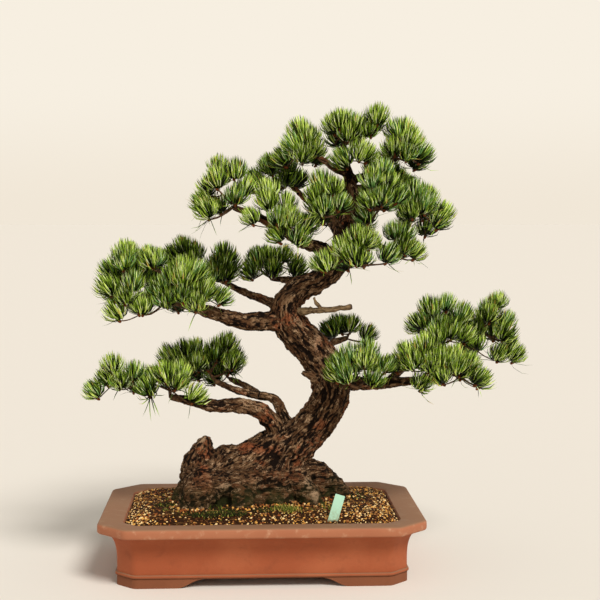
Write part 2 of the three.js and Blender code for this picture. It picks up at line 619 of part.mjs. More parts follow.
function potSolid() {
  const { height } = POT;
  const bandFoot = height - RIM.band;
  const moulding = FOOT.height + MOULDING.height;
  const outer = loft([
    potOutline(WALL.footInset, FOOT.height),
    potOutline(WALL.footInset, FOOT.height + MOULDING.foot),
    potOutline(WALL.footInset - MOULDING.proud, FOOT.height + 2 * MOULDING.foot),
    potOutline(WALL.footInset - MOULDING.proud, moulding),
    potOutline(wallInset(moulding + MOULDING.slope), moulding + MOULDING.slope),
    ...WALL.levels.map((z) => potOutline(wallInset(z), z)),
    potOutline(WALL.topInset, bandFoot),
    ...RIM.under.map(([inset, rise]) => potOutline(inset, bandFoot + rise)),
    ...RIM.over.map(([inset, depth]) => potOutline(inset, height - depth)),
    potOutline(RIM.width, height - RIM.innerDrop),
  ]);
  const floor = FOOT.height + WALL.floor;
  const inner = loft([
    potOutline(WALL.innerFootInset, floor), potOutline(WALL.innerInset, SOIL.edge - SOIL.side),
    potOutline(RIM.width + RIM.seam, height - RIM.innerDrop - RIM.innerSlope),
    potOutline(RIM.width - RIM.innerSlope, height + RIM.innerDrop),
  ]);
  return outer.subtract(inner);
}

// Four bracket feet: a low band under the pot's edge, cut by curved gaps on every side
function feetSolids() {
  const { height, inset, thickness, sweep } = FOOT;
  const band = loft([potOutline(inset, 0), potOutline(inset, height)])
    .subtract(loft([potOutline(inset + thickness, -1), potOutline(inset + thickness, height + 1)]));
  const gapCutter = (width, length) => {
    const half = width / 2;
    const shape = new THREE.Shape();
    shape.moveTo(-half - sweep, -1);
    shape.lineTo(-half - sweep, 0);
    shape.bezierCurveTo(-half - sweep / 2, 0, -half - sweep / 2, height, -half, height);
    shape.lineTo(-half, height + 1);
    shape.lineTo(half, height + 1);
    shape.lineTo(half, height);
    shape.bezierCurveTo(half + sweep / 2, height, half + sweep / 2, 0, half + sweep, 0);
    shape.lineTo(half + sweep, -1);
    return new THREE.ExtrudeGeometry(shape, { depth: length, bevelEnabled: false, curveSegments: 6 })
      .translate(0, 0, -length / 2).rotateX(Math.PI / 2);
  };
  const frontCut = toSolid(gapCutter(FOOT.frontGap, POT.depth));
  const sideCut = toSolid(gapCutter(FOOT.sideGap, POT.width).rotateZ(Math.PI / 2));
  return band.subtract(frontCut).subtract(sideCut).decompose();
}

function footName(solid) {
  const { min, max } = solid.boundingBox();
  const depthwise = min[1] + max[1] < 0 ? 'front' : 'back';
  const sidewise = min[0] + max[0] < 0 ? 'left' : 'right';
  return `foot_${depthwise}_${sidewise}`;
}

// A plain flat plant label, pointed at the foot and leaning as it was pushed in
function labelSolid(extra = 0) {
  const half = LABEL.width / 2 + extra;
  const top = LABEL.length - LABEL.buried + extra;
  const foot = -LABEL.buried - extra;
  const shape = new THREE.Shape();
  shape.moveTo(0, foot);
  shape.lineTo(half, foot + LABEL.point);
  shape.lineTo(half, top - LABEL.chamfer);
  shape.lineTo(half - LABEL.chamfer, top);
  shape.lineTo(-half + LABEL.chamfer, top);
  shape.lineTo(-half, top - LABEL.chamfer);
  shape.lineTo(-half, foot + LABEL.point);
  const depth = LABEL.thickness + 2 * extra;
  const geometry = new THREE.ExtrudeGeometry(shape, { depth, bevelEnabled: false })
    .translate(0, 0, -depth / 2).rotateX(Math.PI / 2)
    .rotateY(THREE.MathUtils.degToRad(LABEL.leanRight))
    .rotateX(THREE.MathUtils.degToRad(-LABEL.leanBack))
    .translate(LABEL.x, LABEL.y, SOIL.edge);
  return toSolid(geometry);
}

function soilSolid() {
  const floor = FOOT.height + WALL.floor + GAP;
  const edge = WALL.innerInset + 2 * GAP;
  const bed = loft([
    potOutline(WALL.innerFootInset + 2 * GAP, floor), potOutline(edge, SOIL.edge - SOIL.side),
    potOutline(edge, SOIL.edge),
    potOutline(edge + SOIL.shoulder / 2, (SOIL.edge + SOIL.top) / 2 + SOIL.bulge),
    potOutline(edge + SOIL.shoulder, SOIL.top),
  ]);
  return bed.subtract(labelSolid(GAP));
}

// Put together

const finish = (color, roughness, metalness = 0) =>
  new THREE.MeshStandardMaterial({ color, roughness, metalness, flatShading: true });
const clay = finish(COLOUR.clay, 0.8);
const bark = finish(COLOUR.bark, 0.95);
const deadwood = finish(COLOUR.deadwood, 0.9);
const needles = finish(COLOUR.needles, 0.6);

const tree = new THREE.Group();

function place(name, solid, material) {
  const mesh = new THREE.Mesh(toGeometry(solid), material);
  mesh.name = name;
  tree.add(mesh);
}

place('pot', potSolid(), clay);
for (const foot of feetSolids()) place(footName(foot), foot, clay);
place('soil', soilSolid(), finish(COLOUR.soil, 1));
place('label', labelSolid(), finish(COLOUR.label, 0.5));
place('trunk', trunkSolid(), bark);
for (const [name, bough] of Object.entries(BOUGHS)) {
  place(name, boughSolid(name, bough), name === 'jin' ? deadwood : bark);
}
Object.entries(MASSES).forEach(([name, mass], index) => {
  place(name, massSolid(name, mass, index + 1), needles);
});

const spread = new THREE.Box3().setFromObject(tree);
tree.position.set(-(spread.min.x + spread.max.x) / 2, -(spread.min.y + spread.max.y) / 2, 0);

export default tree;
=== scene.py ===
"""A Japanese white pine bonsai in an unglazed clay pot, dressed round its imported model.

The tree is worked out in millimetres round the middle of the pot's underside, with +Z up
and the front of the tree at -Y. Limbs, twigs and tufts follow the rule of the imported
solids, and go on to finer shoots with their needles. Pieces are made in metres, in the
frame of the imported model.
"""

import logging
import math
from dataclasses import dataclass, field
from enum import Enum
from typing import Iterable

import bmesh
import bpy
import numpy as np
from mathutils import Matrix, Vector
from mathutils.bvhtree import BVHTree


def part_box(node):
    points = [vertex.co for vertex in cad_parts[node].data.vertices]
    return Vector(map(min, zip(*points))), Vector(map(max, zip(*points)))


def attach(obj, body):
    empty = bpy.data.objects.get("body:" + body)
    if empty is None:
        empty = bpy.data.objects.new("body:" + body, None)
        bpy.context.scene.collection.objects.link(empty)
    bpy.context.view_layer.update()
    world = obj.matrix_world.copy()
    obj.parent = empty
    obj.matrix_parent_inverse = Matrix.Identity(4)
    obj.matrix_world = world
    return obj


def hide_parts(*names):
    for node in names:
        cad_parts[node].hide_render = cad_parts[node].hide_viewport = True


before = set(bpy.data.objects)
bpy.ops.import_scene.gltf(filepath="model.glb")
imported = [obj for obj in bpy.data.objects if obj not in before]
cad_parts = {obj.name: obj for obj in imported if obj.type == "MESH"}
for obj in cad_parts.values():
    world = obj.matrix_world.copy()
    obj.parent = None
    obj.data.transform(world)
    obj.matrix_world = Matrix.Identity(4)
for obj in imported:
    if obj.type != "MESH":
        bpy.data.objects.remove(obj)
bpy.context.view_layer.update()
LOG = logging.getLogger("bonsai")
MM = 0.001
GAP = 0.3
GOLDEN = math.pi * (3 - math.sqrt(5))
UP = np.array([0.0, 0.0, 1.0])
Route = list[list[float]]
Colour = tuple[float, float, float]

# Trunk centreline from the soil to its tip: x, y, z and radius
TRUNK: Route = [
    [6, 5, 74, 56], [14, 4, 118, 45], [30, 2, 156, 36], [58, 1, 188, 30], [87, 2, 217, 27.5],
    [104, 6, 251, 28.5], [100, 8, 284, 28.5], [83, 6, 312, 27], [60, 2, 337, 26.5],
    [41, 0, 361, 25], [38, 2, 387, 21.5], [57, 4, 408, 18.5], [84, 4, 421, 16.5],
    [106, 1, 437, 15.5], [119, -2, 459, 14], [119, 0, 487, 13], [128, 6, 514, 11.5],
    [136, 10, 541, 10], [132, 8, 567, 8.8], [125, 4, 591, 7.4], [122, 0, 612, 6],
]

# Root flare: ridges that run from the foot of the trunk down into the soil
FLARE: dict[str, Route] = {
    "dead_stub": [[-93, 5, 70, 44], [-93, 4, 144, 26], [-84, 2, 178, 13], [-80, 2, 191, 5]],
    "shoulder": [[-62, 4, 120, 44], [-30, 2, 134, 42], [10, 2, 158, 39], [38, 1, 186, 29]],
    "left": [[-60, 10, 132, 34], [-98, 26, 104, 28], [-124, 42, 76, 20]],
    "left_front": [[-62, -8, 132, 34], [-92, -40, 112, 25], [-104, -64, 76, 20]],
    "front": [[-16, -6, 128, 32], [-30, -38, 106, 19], [-34, -58, 76, 16]],
    "front_right": [[20, -4, 130, 30], [16, -18, 104, 22], [14, -26, 76, 18]],
    "right_front": [[34, 2, 142, 28], [66, -22, 112, 18], [84, -42, 76, 15]],
    "right": [[44, 4, 140, 26], [82, 10, 133, 18], [108, 14, 114, 14], [130, 18, 86, 12]],
    "right_foot": [[46, 8, 132, 28], [80, 14, 104, 22], [98, 18, 76, 16]],
    "back_left": [[-46, 14, 128, 36], [-74, 44, 104, 26], [-92, 66, 76, 18]],
    "back": [[0, 14, 128, 38], [-8, 46, 104, 26], [-12, 66, 76, 20]],
    "back_right": [[36, 14, 132, 30], [62, 40, 104, 22], [76, 56, 76, 16]],
}
MOUND_CENTRE = (-46, 2, 92)
MOUND_HALF = (62, 46, 86)

# Boughs: each is one tapering limb, whose first point lies inside its carrier
BOUGHS: dict[str, Route] = {
    "low_left": [
        [26, 0, 188, 14], [15, -10, 214, 13], [-8, -18, 234, 11.8], [-36, -23, 241, 10.8],
        [-68, -30, 241, 10], [-96, -36, 248, 7.4], [-122, -40, 254, 5.6]],
    "low_rear": [
        [44, 10, 198, 10], [31, 16, 224, 8.4], [20, 22, 243, 7.2], [-4, 27, 248, 6.4],
        [-32, 33, 254, 5.8], [-60, 36, 265, 4.6]],
    "low_back": [[-2, 27, 248, 6.4], [-16, 62, 254, 5.4], [-40, 92, 262, 4.6]],
    "mid_left": [
        [46, 0, 360, 17], [8, -6, 362, 14.5], [-26, -14, 363, 12.8], [-62, -24, 374, 10.6],
        [-92, -36, 384, 8.2], [-118, -48, 392, 5.6]],
    "mid_left_rear": [[46, 4, 376, 10], [8, 24, 391, 7], [-28, 48, 404, 5.6], [-60, 62, 420, 4.4]],
    "mid_rear": [[62, 4, 411, 9], [46, 32, 420, 6], [24, 54, 422, 4.4]],
    "right": [
        [94, 4, 278, 13], [132, -10, 273, 10], [166, -22, 271, 8.8], [200, -34, 275, 7.6],
        [232, -42, 279, 6], [258, -46, 284, 4.8]],
    "right_front": [[134, -11, 273, 7], [132, -38, 268, 5.4], [136, -58, 270, 4.2]],
    "right_rear": [[184, -28, 273, 7], [204, -4, 286, 6], [230, 14, 305, 5.2], [256, 24, 324, 4.4]],
    "elbow_rear": [[84, 8, 306, 9], [102, 40, 322, 5.4], [126, 64, 328, 4]],
    "upper_left": [
        [118, 0, 452, 12], [88, -10, 469, 10.6], [54, -22, 483, 9], [21, -34, 503, 7.4],
        [-8, -41, 518, 6], [-30, -43, 526, 4.8]],
    "upper_inner": [[52, -22, 484, 6.5], [44, -38, 487, 5], [36, -50, 496, 4.2]],
    "upper_rear": [[120, 0, 489, 9], [98, 24, 515, 6], [72, 40, 538, 5], [50, 50, 560, 4.2]],
    "crown_front_left": [[120, 0, 492, 8], [113, -28, 502, 5], [104, -52, 512, 4]],
    "crown_front": [[131, 7, 521, 8], [146, -16, 523, 5.4], [162, -34, 527, 4.2]],
    "crown_right": [[136, 10, 545, 8], [164, 0, 540, 6.6], [190, -14, 536, 5.4], [208, -22, 528, 4.4]],
    "crown_low_right": [
        [124, 3, 503, 8], [144, -12, 494, 5.6], [164, -26, 479, 4.8], [182, -36, 468, 4]],
    "crown_low": [[118, -2, 456, 8], [126, -26, 452, 5.4], [134, -50, 448, 4.2]],
    "crown_back": [[126, 4, 508, 8], [130, 34, 514, 5.6], [132, 56, 516, 4.4]],
    "crown_back_right": [[134, 9, 556, 7], [158, 30, 560, 5.2], [180, 46, 562, 4.2]],
    "apex_left": [[128, 6, 580, 6.5], [104, 0, 590, 5], [82, -6, 606, 4.2]],
    "apex_right": [[132, 8, 570, 7], [158, 4, 578, 5.4], [184, 0, 594, 4.4]],
}

# The dead branch and its fork
JIN: Route = [[46, 0, 375, 8], [70, -23, 379, 5], [100, -33, 382, 4.4], [131, -40, 386, 4.1]]
JIN_FORK: Route = [[88, -30, 381, 3.2], [80, -34, 391, 2.6], [76, -37, 399, 2]]


@dataclass(frozen=True)
class Pad:
    """An ellipsoid that a foliage mass fills: its centre, half-widths and tufts."""

    at: tuple[float, float, float]
    half: tuple[float, float, float]
    tufts: int

    @property
    def size(self) -> float:
        """The mean of the half-widths."""
        return sum(self.half) / 3


@dataclass(frozen=True)
class Clump:
    """A foliage mass: its pads, the gap in millimetres between finer shoots, its share of shade."""

    pads: list[Pad]
    gap: float = 23
    shade: float = 0


# Foliage masses, each on the bough of its own name, or else on the trunk
MASSES: dict[str, Clump] = {
    "low_left": Clump([
        Pad((-202, -50, 280), (38, 28, 18), 6), Pad((-138, -46, 277), (36, 30, 15), 6)], gap=30),
    "low_rear": Clump([
        Pad((-112, 28, 303), (30, 26, 12), 5),
        Pad((-60, 34, 303), (24, 26, 19), 5)], gap=25, shade=0.42),
    "low_back": Clump([Pad((-72, 98, 282), (44, 26, 13), 5)], gap=27, shade=0.5),
    "mid_left": Clump([
        Pad((-192, -62, 436), (27, 30, 34), 8), Pad((-106, -60, 417), (47, 30, 22), 8),
        Pad((-152, -50, 450), (16, 24, 6), 3), Pad((-178, -76, 381), (34, 13, 6), 3)], gap=20),
    "mid_left_rear": Clump([
        Pad((-116, 52, 452), (26, 26, 15), 5), Pad((-60, 72, 440), (20, 28, 16), 4),
        Pad((-166, 62, 418), (24, 26, 12), 3)], gap=20, shade=0.55),
    "mid_rear": Clump([Pad((14, 70, 444), (46, 30, 13), 6)], gap=21, shade=0.5),
    "right_front": Clump([Pad((142, -68, 304), (48, 28, 19), 7)]),
    "right": Clump([Pad((226, -60, 307), (44, 26, 20), 7), Pad((280, -48, 297), (33, 28, 15), 6)]),
    "right_rear": Clump([
        Pad((276, 38, 362), (42, 32, 18), 6), Pad((276, -10, 332), (42, 20, 12), 5),
        Pad((350, 28, 348), (37, 32, 34), 7)], gap=21, shade=0.05),
    "elbow_rear": Clump([Pad((127, 80, 339), (43, 20, 6), 5)], gap=60, shade=0.5),
    "upper_left": Clump([Pad((-51, -38, 558), (42, 32, 30), 9)]),
    "upper_inner": Clump([Pad((14, -54, 529), (30, 24, 20), 5), Pad((46, -60, 501), (28, 22, 16), 4)]),
    "upper_rear": Clump([Pad((24, 55, 582), (34, 30, 16), 7)], shade=0.5),
    "crown_front_left": Clump([Pad((92, -66, 542), (26, 24, 25), 7)], gap=21, shade=0.08),
    "crown_front": Clump([Pad((170, -50, 547), (27, 26, 33), 7)], gap=21),
    "crown_right": Clump([Pad((232, -28, 527), (30, 30, 25), 7)]),
    "crown_low_right": Clump([Pad((197, -45, 480), (26, 26, 17), 5)]),
    "crown_low": Clump([Pad((146, -70, 470), (48, 22, 18), 7), Pad((89, -62, 447), (4, 6, 3), 2)]),
    "crown_back": Clump([Pad((122, 82, 530), (44, 26, 24), 5)], shade=0.5),
    "crown_back_right": Clump([Pad((206, 58, 560), (26, 28, 18), 5)], shade=0.3),
    "apex_left": Clump([Pad((64, -8, 621), (27, 28, 21), 6)], gap=22),
    "apex": Clump([
        Pad((124, 2, 640), (36, 26, 18), 6), Pad((168, -4, 650), (12, 14, 16), 3),
        Pad((146, -26, 600), (26, 12, 8), 3)], gap=21),
    "apex_right": Clump([Pad((210, 0, 618), (28, 30, 28), 7)]),
}


# Small helpers for points and numbers


def pot_origin() -> np.ndarray:
    """The middle of the pot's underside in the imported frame.

    Returns:
        The point, in millimetres.
    """
    low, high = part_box("pot")
    middle = (low + high) / 2
    return np.array([middle.x, middle.y, 0.0]) / MM


def unit(vectors: np.ndarray) -> np.ndarray:
    """Vectors along the last axis, each made one long.

    Args:
        vectors: One vector or many.

    Returns:
        The same directions at length one.
    """
    return vectors / np.linalg.norm(vectors, axis=-1, keepdims=True)


def perpendicular(axes: np.ndarray) -> tuple[np.ndarray, np.ndarray]:
    """Two directions square to each axis and to each other.

    Args:
        axes: Unit vectors, one a row.

    Returns:
        The two sets of unit vectors.
    """
    start = np.where(np.abs(axes[:, :1]) > 0.8, [[0.0, 1.0, 0.0]], [[1.0, 0.0, 0.0]])
    across = unit(start - (start * axes).sum(1, keepdims=True) * axes)
    return across, np.cross(axes, across)


def smoothstep(low: float, high: float, values: np.ndarray) -> np.ndarray:
    """A soft step from 0 at low to 1 at high.

    Args:
        low: Where the step starts.
        high: Where it ends.
        values: The numbers to step.

    Returns:
        Numbers from 0 to 1.
    """
    share = np.clip((values - low) / (high - low), 0, 1)
    return share * share * (3 - 2 * share)


def dealt(cells: np.ndarray, seed: int) -> np.ndarray:
    """A number from 0 to 1 for each whole-number cell, by a fixed rule.

    Args:
        cells: Whole numbers, three a row.
        seed: Chooses one of many such rules.

    Returns:
        One number for each row.
    """
    c = cells.astype(np.int64)
    mixed = (c[..., 0] * 73856093) ^ (c[..., 1] * 19349663) ^ (c[..., 2] * 83492791)
    mixed = (mixed ^ (seed * 40503 + 977)) & 0xFFFFFFFF
    mixed = ((mixed ^ (mixed >> 15)) * 2246822519) & 0xFFFFFFFF
    mixed = ((mixed ^ (mixed >> 13)) * 3266489917) & 0xFFFFFFFF
    return (mixed ^ (mixed >> 16)) / 2.0**32


def soft_noise(points: np.ndarray, seed: int, octaves: int) -> np.ndarray:
    """Smooth noise from about -1 to 1, with finer layers at half the strength.

    Args:
        points: Places, three numbers a row, in units of the noise's own step.
        seed: Chooses the noise.
        octaves: How many layers.

    Returns:
        One number for each place.
    """
    total = np.zeros(len(points))
    strength = 1.0
    for layer in range(octaves):
        scaled = points * 2.0**layer + 17.3 * layer
        corner = np.floor(scaled)
        part = scaled - corner
        part = part * part * (3 - 2 * part)
        value = np.zeros(len(points))
        for step in np.ndindex(2, 2, 2):
            weight = np.prod(np.where(np.array(step) == 1, part, 1 - part), axis=1)
            value += weight * dealt(corner + step, seed + layer)
        total += strength * (2 * value - 1)
        strength /= 2
    return total


def plates(points: np.ndarray, seed: int) -> tuple[np.ndarray, np.ndarray]:
    """Cells that pack space like scales of bark.

    Args:
        points: Places, three numbers a row, in units of a cell.
        seed: Chooses the cells.

    Returns:
        How far each place is inside its cell, 0 at the border, and a number for its cell.
    """
    base = np.floor(points)
    nearest = np.full(len(points), 9.0)
    second = np.full(len(points), 9.0)
    chosen = np.zeros(len(points))
    for step in np.ndindex(3, 3, 3):
        cell = base + step - 1
        heart = cell + np.stack([dealt(cell, seed + k) for k in range(3)], axis=1)
        distance = np.linalg.norm(points - heart, axis=1)
        closer = distance < nearest
        second = np.where(closer, nearest, np.minimum(second, distance))
        chosen = np.where(closer, dealt(cell, seed + 3), chosen)
        nearest = np.where(closer, distance, nearest)
    return second - nearest, chosen


class Chance:
    """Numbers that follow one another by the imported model's rule, from 0 up to 1."""

    def __init__(self, seed: int) -> None:
        """Starts the numbers at a seed."""
        self.state = seed & 0xFFFFFFFF

    def __call__(self) -> float:
        """Works out the next number.

        Returns:
            The number.
        """
        self.state = (self.state + 0x6D2B79F5) & 0xFFFFFFFF
        mixed = ((self.state ^ (self.state >> 15)) * (self.state | 1)) & 0xFFFFFFFF
        step = ((mixed ^ (mixed >> 7)) * (mixed | 61)) & 0xFFFFFFFF
        mixed ^= (mixed + step) & 0xFFFFFFFF
        return ((mixed ^ (mixed >> 14)) & 0xFFFFFFFF) / 2.0**32


class Shell:
    """Points and faces that are gathered into one piece."""

    def __init__(self) -> None:
        """Starts with nothing."""
        self.points: list[np.ndarray] = []
        self.faces: list[np.ndarray] = []
        self.finish_of: list[np.ndarray] = []
        self.count = 0

    def add(self, points: np.ndarray, faces: np.ndarray, finish: int | np.ndarray = 0) -> None:
        """Adds points, and faces that name them by number.

        Args:
            points: Places in millimetres, three numbers a row.
            faces: Corner numbers, three or four a row.
            finish: The finish of every face, or one for each.
        """
        self.points.append(points)
        self.faces.append(faces + self.count)
        self.finish_of.append(np.broadcast_to(finish, len(faces)))
        self.count += len(points)

    def piece(self, name: str, finishes: list[bpy.types.Material], smooth: bool = True) -> bpy.types.Object:
        """Makes the mesh object.

        Args:
            name: The piece's name.
            finishes: Its materials, in the order of the faces' numbers.
            smooth: Whether the faces are shaded smooth.

        Returns:
            The new object.
        """
        mesh = bpy.data.meshes.new(name)
        points = (np.concatenate(self.points) + pot_origin()) * MM
        corners = np.concatenate([faces.ravel() for faces in self.faces])
        sizes = np.concatenate([np.full(len(faces), faces.shape[1]) for faces in self.faces])
        mesh.vertices.add(len(points))
        mesh.vertices.foreach_set("co", points.astype(np.float32).ravel())
        mesh.loops.add(len(corners))
        mesh.loops.foreach_set("vertex_index", corners.astype(np.int32))
        mesh.polygons.add(len(sizes))
        starts = np.concatenate([[0], np.cumsum(sizes)[:-1]])
        mesh.polygons.foreach_set("loop_start", starts.astype(np.int32))
        mesh.polygons.foreach_set("material_index", np.concatenate(self.finish_of).astype(np.int32))
        mesh.polygons.foreach_set("use_smooth", np.full(len(sizes), smooth))
        mesh.update(calc_edges=True)
        mesh.validate()
        for finish in finishes:
            mesh.materials.append(finish)
        piece = bpy.data.objects.new(name, mesh)
        bpy.context.scene.collection.objects.link(piece)
        return piece


def seat(piece: bpy.types.Object, nodes: Iterable[str] = ()) -> bpy.types.Object:
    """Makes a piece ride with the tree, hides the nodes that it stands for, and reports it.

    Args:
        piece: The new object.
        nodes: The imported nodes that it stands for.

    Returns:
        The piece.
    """
    nodes = list(nodes)
    if nodes:
        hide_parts(*nodes)
    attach(piece, "root")
    faces = sum(len(face.vertices) - 2 for face in piece.data.polygons)
    LOG.info("%s: %d triangles, stands for %d nodes", piece.name, faces, len(nodes))
    return piece


# Shader maths and finishes


class Wire:
    """A socket's value in a finish, which takes part in arithmetic."""

    def __init__(self, graph: "Graph", socket: bpy.types.NodeSocket) -> None:
        """Holds an output socket of a graph."""
        self.graph = graph
        self.socket = socket

    def _math(self, operation: str, first: object, second: object) -> "Wire":
        """What a Math node makes of two values."""
        return self.graph.node("ShaderNodeMath", {"operation": operation}, {0: first, 1: second})

    def __add__(self, other: object) -> "Wire":
        """This and other, added."""
        return self._math("ADD", self, other)

    __radd__ = __add__

    def __mul__(self, other: object) -> "Wire":
        """This times other."""
        return self._math("MULTIPLY", self, other)

    __rmul__ = __mul__

    def __sub__(self, other: object) -> "Wire":
        """This less other."""
        return self._math("SUBTRACT", self, other)

    def __rsub__(self, other: object) -> "Wire":
        """Other less this."""
        return self._math("SUBTRACT", other, self)

    def step(self, low: float, high: float) -> "Wire":
        """A soft step of this from 0 at low to 1 at high.

        Args:
            low: Where the step starts.
            high: Where it ends.

        Returns:
            Values from 0 to 1.
        """
        return self.graph.node("ShaderNodeMapRange", {"interpolation_type": "SMOOTHSTEP"},
                               {"Value": self, "From Min": low, "From Max": high})


class Graph:
    """The nodes of one finish, round its shader."""

    def __init__(self, owner: bpy.types.Material | bpy.types.World, shader: str = "Principled BSDF") -> None:
        """Starts from the owner's own shader.

        Args:
            owner: The material or world.
            shader: The name of its shader node.
        """
        owner.use_nodes = True
        self.owner = owner
        self.tree = owner.node_tree
        self.shader = self.tree.nodes[shader]

    def node(self, kind: str, settings: dict | None = None, values: dict | None = None,
             result: str | int = 0) -> Wire:
        """Adds a node of any type.

        Args:
            kind: The node's type.
            settings: Its settings, which are set first.
            values: Values or wires of its input sockets, by name or number.
            result: The output socket that is wanted, by name or number.

        Returns:
            The value of that socket.
        """
        node = self.tree.nodes.new(kind)
        for key, value in (settings or {}).items():
            setattr(node, key, value)
        for key, value in (values or {}).items():
            self.feed(node.inputs[key], value)
        return Wire(self, node.outputs[result])

    def feed(self, socket: bpy.types.NodeSocket, value: object) -> None:
        """Links a wire to a socket, or sets the socket's own value.

        Args:
            socket: The input socket.
            value: A wire, a number or a colour.
        """
        if isinstance(value, Wire):
            self.tree.links.new(value.socket, socket)
        elif isinstance(value, tuple) and len(value) == 3 and socket.type == "RGBA":
            socket.default_value = (*value, 1.0)
        else:
            socket.default_value = value

    def place(self) -> Wire:
        """Where a point lies on the object, in metres."""
        return self.node("ShaderNodeTexCoord", result="Object")

    def part(self, axis: int, vector: Wire | None = None) -> Wire:
        """One axis of a vector, or of a point's place on the object."""
        return self.node("ShaderNodeSeparateXYZ", None, {0: vector or self.place()}, axis)

    def noise(self, scale: float, detail: float, rough: float, place: Wire | None = None) -> Wire:
        """Smooth noise over the object.

        Args:
            scale: Steps a metre.
            detail: Finer layers.
            rough: Their strength.
            place: Where to read it, if not at the point itself.

        Returns:
            The noise, from 0 to 1.
        """
        return self.node("ShaderNodeTexNoise", None, {
            "Vector": place or self.place(), "Scale": scale, "Detail": detail, "Roughness": rough}, "Fac")

    def attribute(self, name: str, output: str = "Fac") -> Wire:
        """What the mesh holds at each point: a number, or a vector by its output's name."""
        return self.node("ShaderNodeAttribute", {"attribute_name": name}, None, output)

    def stretched(self, place: Wire, by: Colour) -> Wire:
        """A place whose axes are scaled apart."""
        return self.node("ShaderNodeVectorMath", {"operation": "MULTIPLY"}, {0: place, 1: by}, "Vector")

    def shaken(self, place: Wire, scale: float, by: float) -> Wire:
        """A place moved a little by noise, which makes what is read there ragged.

        Args:
            place: The place.
            scale: The noise's steps a metre.
            by: How far it moves, in metres.

        Returns:
            The new place.
        """
        noise = self.node("ShaderNodeTexNoise", None, {"Vector": place, "Scale": scale, "Detail": 3.0},
                          "Color")
        push = self.node("ShaderNodeVectorMath", {"operation": "SCALE"}, {0: noise, "Scale": by}, "Vector")
        return self.node("ShaderNodeVectorMath", {"operation": "ADD"}, {0: place, 1: push}, "Vector")

    def flakes(self, place: Wire, scale: float) -> tuple[Wire, Wire]:
        """Cells over the object.

        Args:
            place: Where to read them.
            scale: Cells a metre.

        Returns:
            The distance from a cell's border, and a number from 0 to 1 for each cell.
        """
        where = {"Vector": place, "Scale": scale}
        edge = self.node("ShaderNodeTexVoronoi", {"feature": "DISTANCE_TO_EDGE"}, where, "Distance")
        cell = self.node("ShaderNodeTexVoronoi", {"feature": "F1"}, where, "Color")
        return edge, self.node("ShaderNodeSeparateColor", None, {0: cell})

    def facing(self, axis: Colour) -> Wire:
        """How far the surface faces along an axis, from -1 to 1."""
        normal = self.node("ShaderNodeNewGeometry", result="Normal")
        return self.node("ShaderNodeVectorMath", {"operation": "DOT_PRODUCT"}, {0: normal, 1: axis}, "Value")

    def mix(self, share: object, first: object, second: object) -> Wire:
        """A colour between two colours.

        Args:
            share: 0 for the first colour, 1 for the second.
            first: A colour or a wire.
            second: A colour or a wire.

        Returns:
            The colour.
        """
        return self.node("ShaderNodeMix", {"data_type": "RGBA"}, {0: share, 6: first, 7: second}, 2)

    def bump(self, height: Wire, strength: float, distance: float) -> None:
        """Gives the surface a fine relief.

        Args:
            height: The relief.
            strength: How much of it shows.
            distance: Its depth, in metres.
        """
        self.feed(self.shader.inputs["Normal"], self.node("ShaderNodeBump", None, {
            "Height": height, "Strength": strength, "Distance": distance}))

    def surface(self, **values: object) -> bpy.types.Material | bpy.types.World:
        """Feeds the shader's sockets.

        Args:
            **values: Numbers, colours or wires, by the socket's name.

        Returns:
            The material or world.
        """
        for key, value in values.items():
            self.feed(self.shader.inputs[key.replace("_", " ")], value)
        return self.owner


def tint(red: int, green: int, blue: int) -> Colour:
    """A colour as the shader reads it.

    Args:
        red: The screen's red, 0 to 255.
        green: The screen's green.
        blue: The screen's blue.

    Returns:
        The same colour in linear light.
    """
    def linear(value: int) -> float:
        """One channel in linear light."""
        share = value / 255
        return share / 12.92 if share <= 0.04045 else ((share + 0.055) / 1.055) ** 2.4

    return linear(red), linear(green), linear(blue)


@dataclass(frozen=True)
class PlainFinish:
    """One colour for a small thing that is dealt out among many, such as a needle."""

    name: str
    colour: Colour
    roughness: float
    gloss: float

    def material(self) -> bpy.types.Material:
        """The material, whose values stay on the shader's own sockets."""
        graph = Graph(bpy.data.materials.new(self.name))
        return graph.surface(Base_Color=self.colour, Roughness=self.roughness, Specular_IOR_Level=self.gloss)


def dealt_finishes(colours: type[Enum], name: str, roughness: float,
                   gloss: float) -> list[bpy.types.Material]:
    """One plain finish for each colour that small things are dealt.

    Args:
        colours: The colours.
        name: What the finishes' names start with.
        roughness: Their roughness.
        gloss: Their gloss.

    Returns:
        The materials, in the colours' order.
    """
    return [PlainFinish(f"{name}_{colour.name.lower()}", colour.value, roughness, gloss).material()
            for colour in colours]


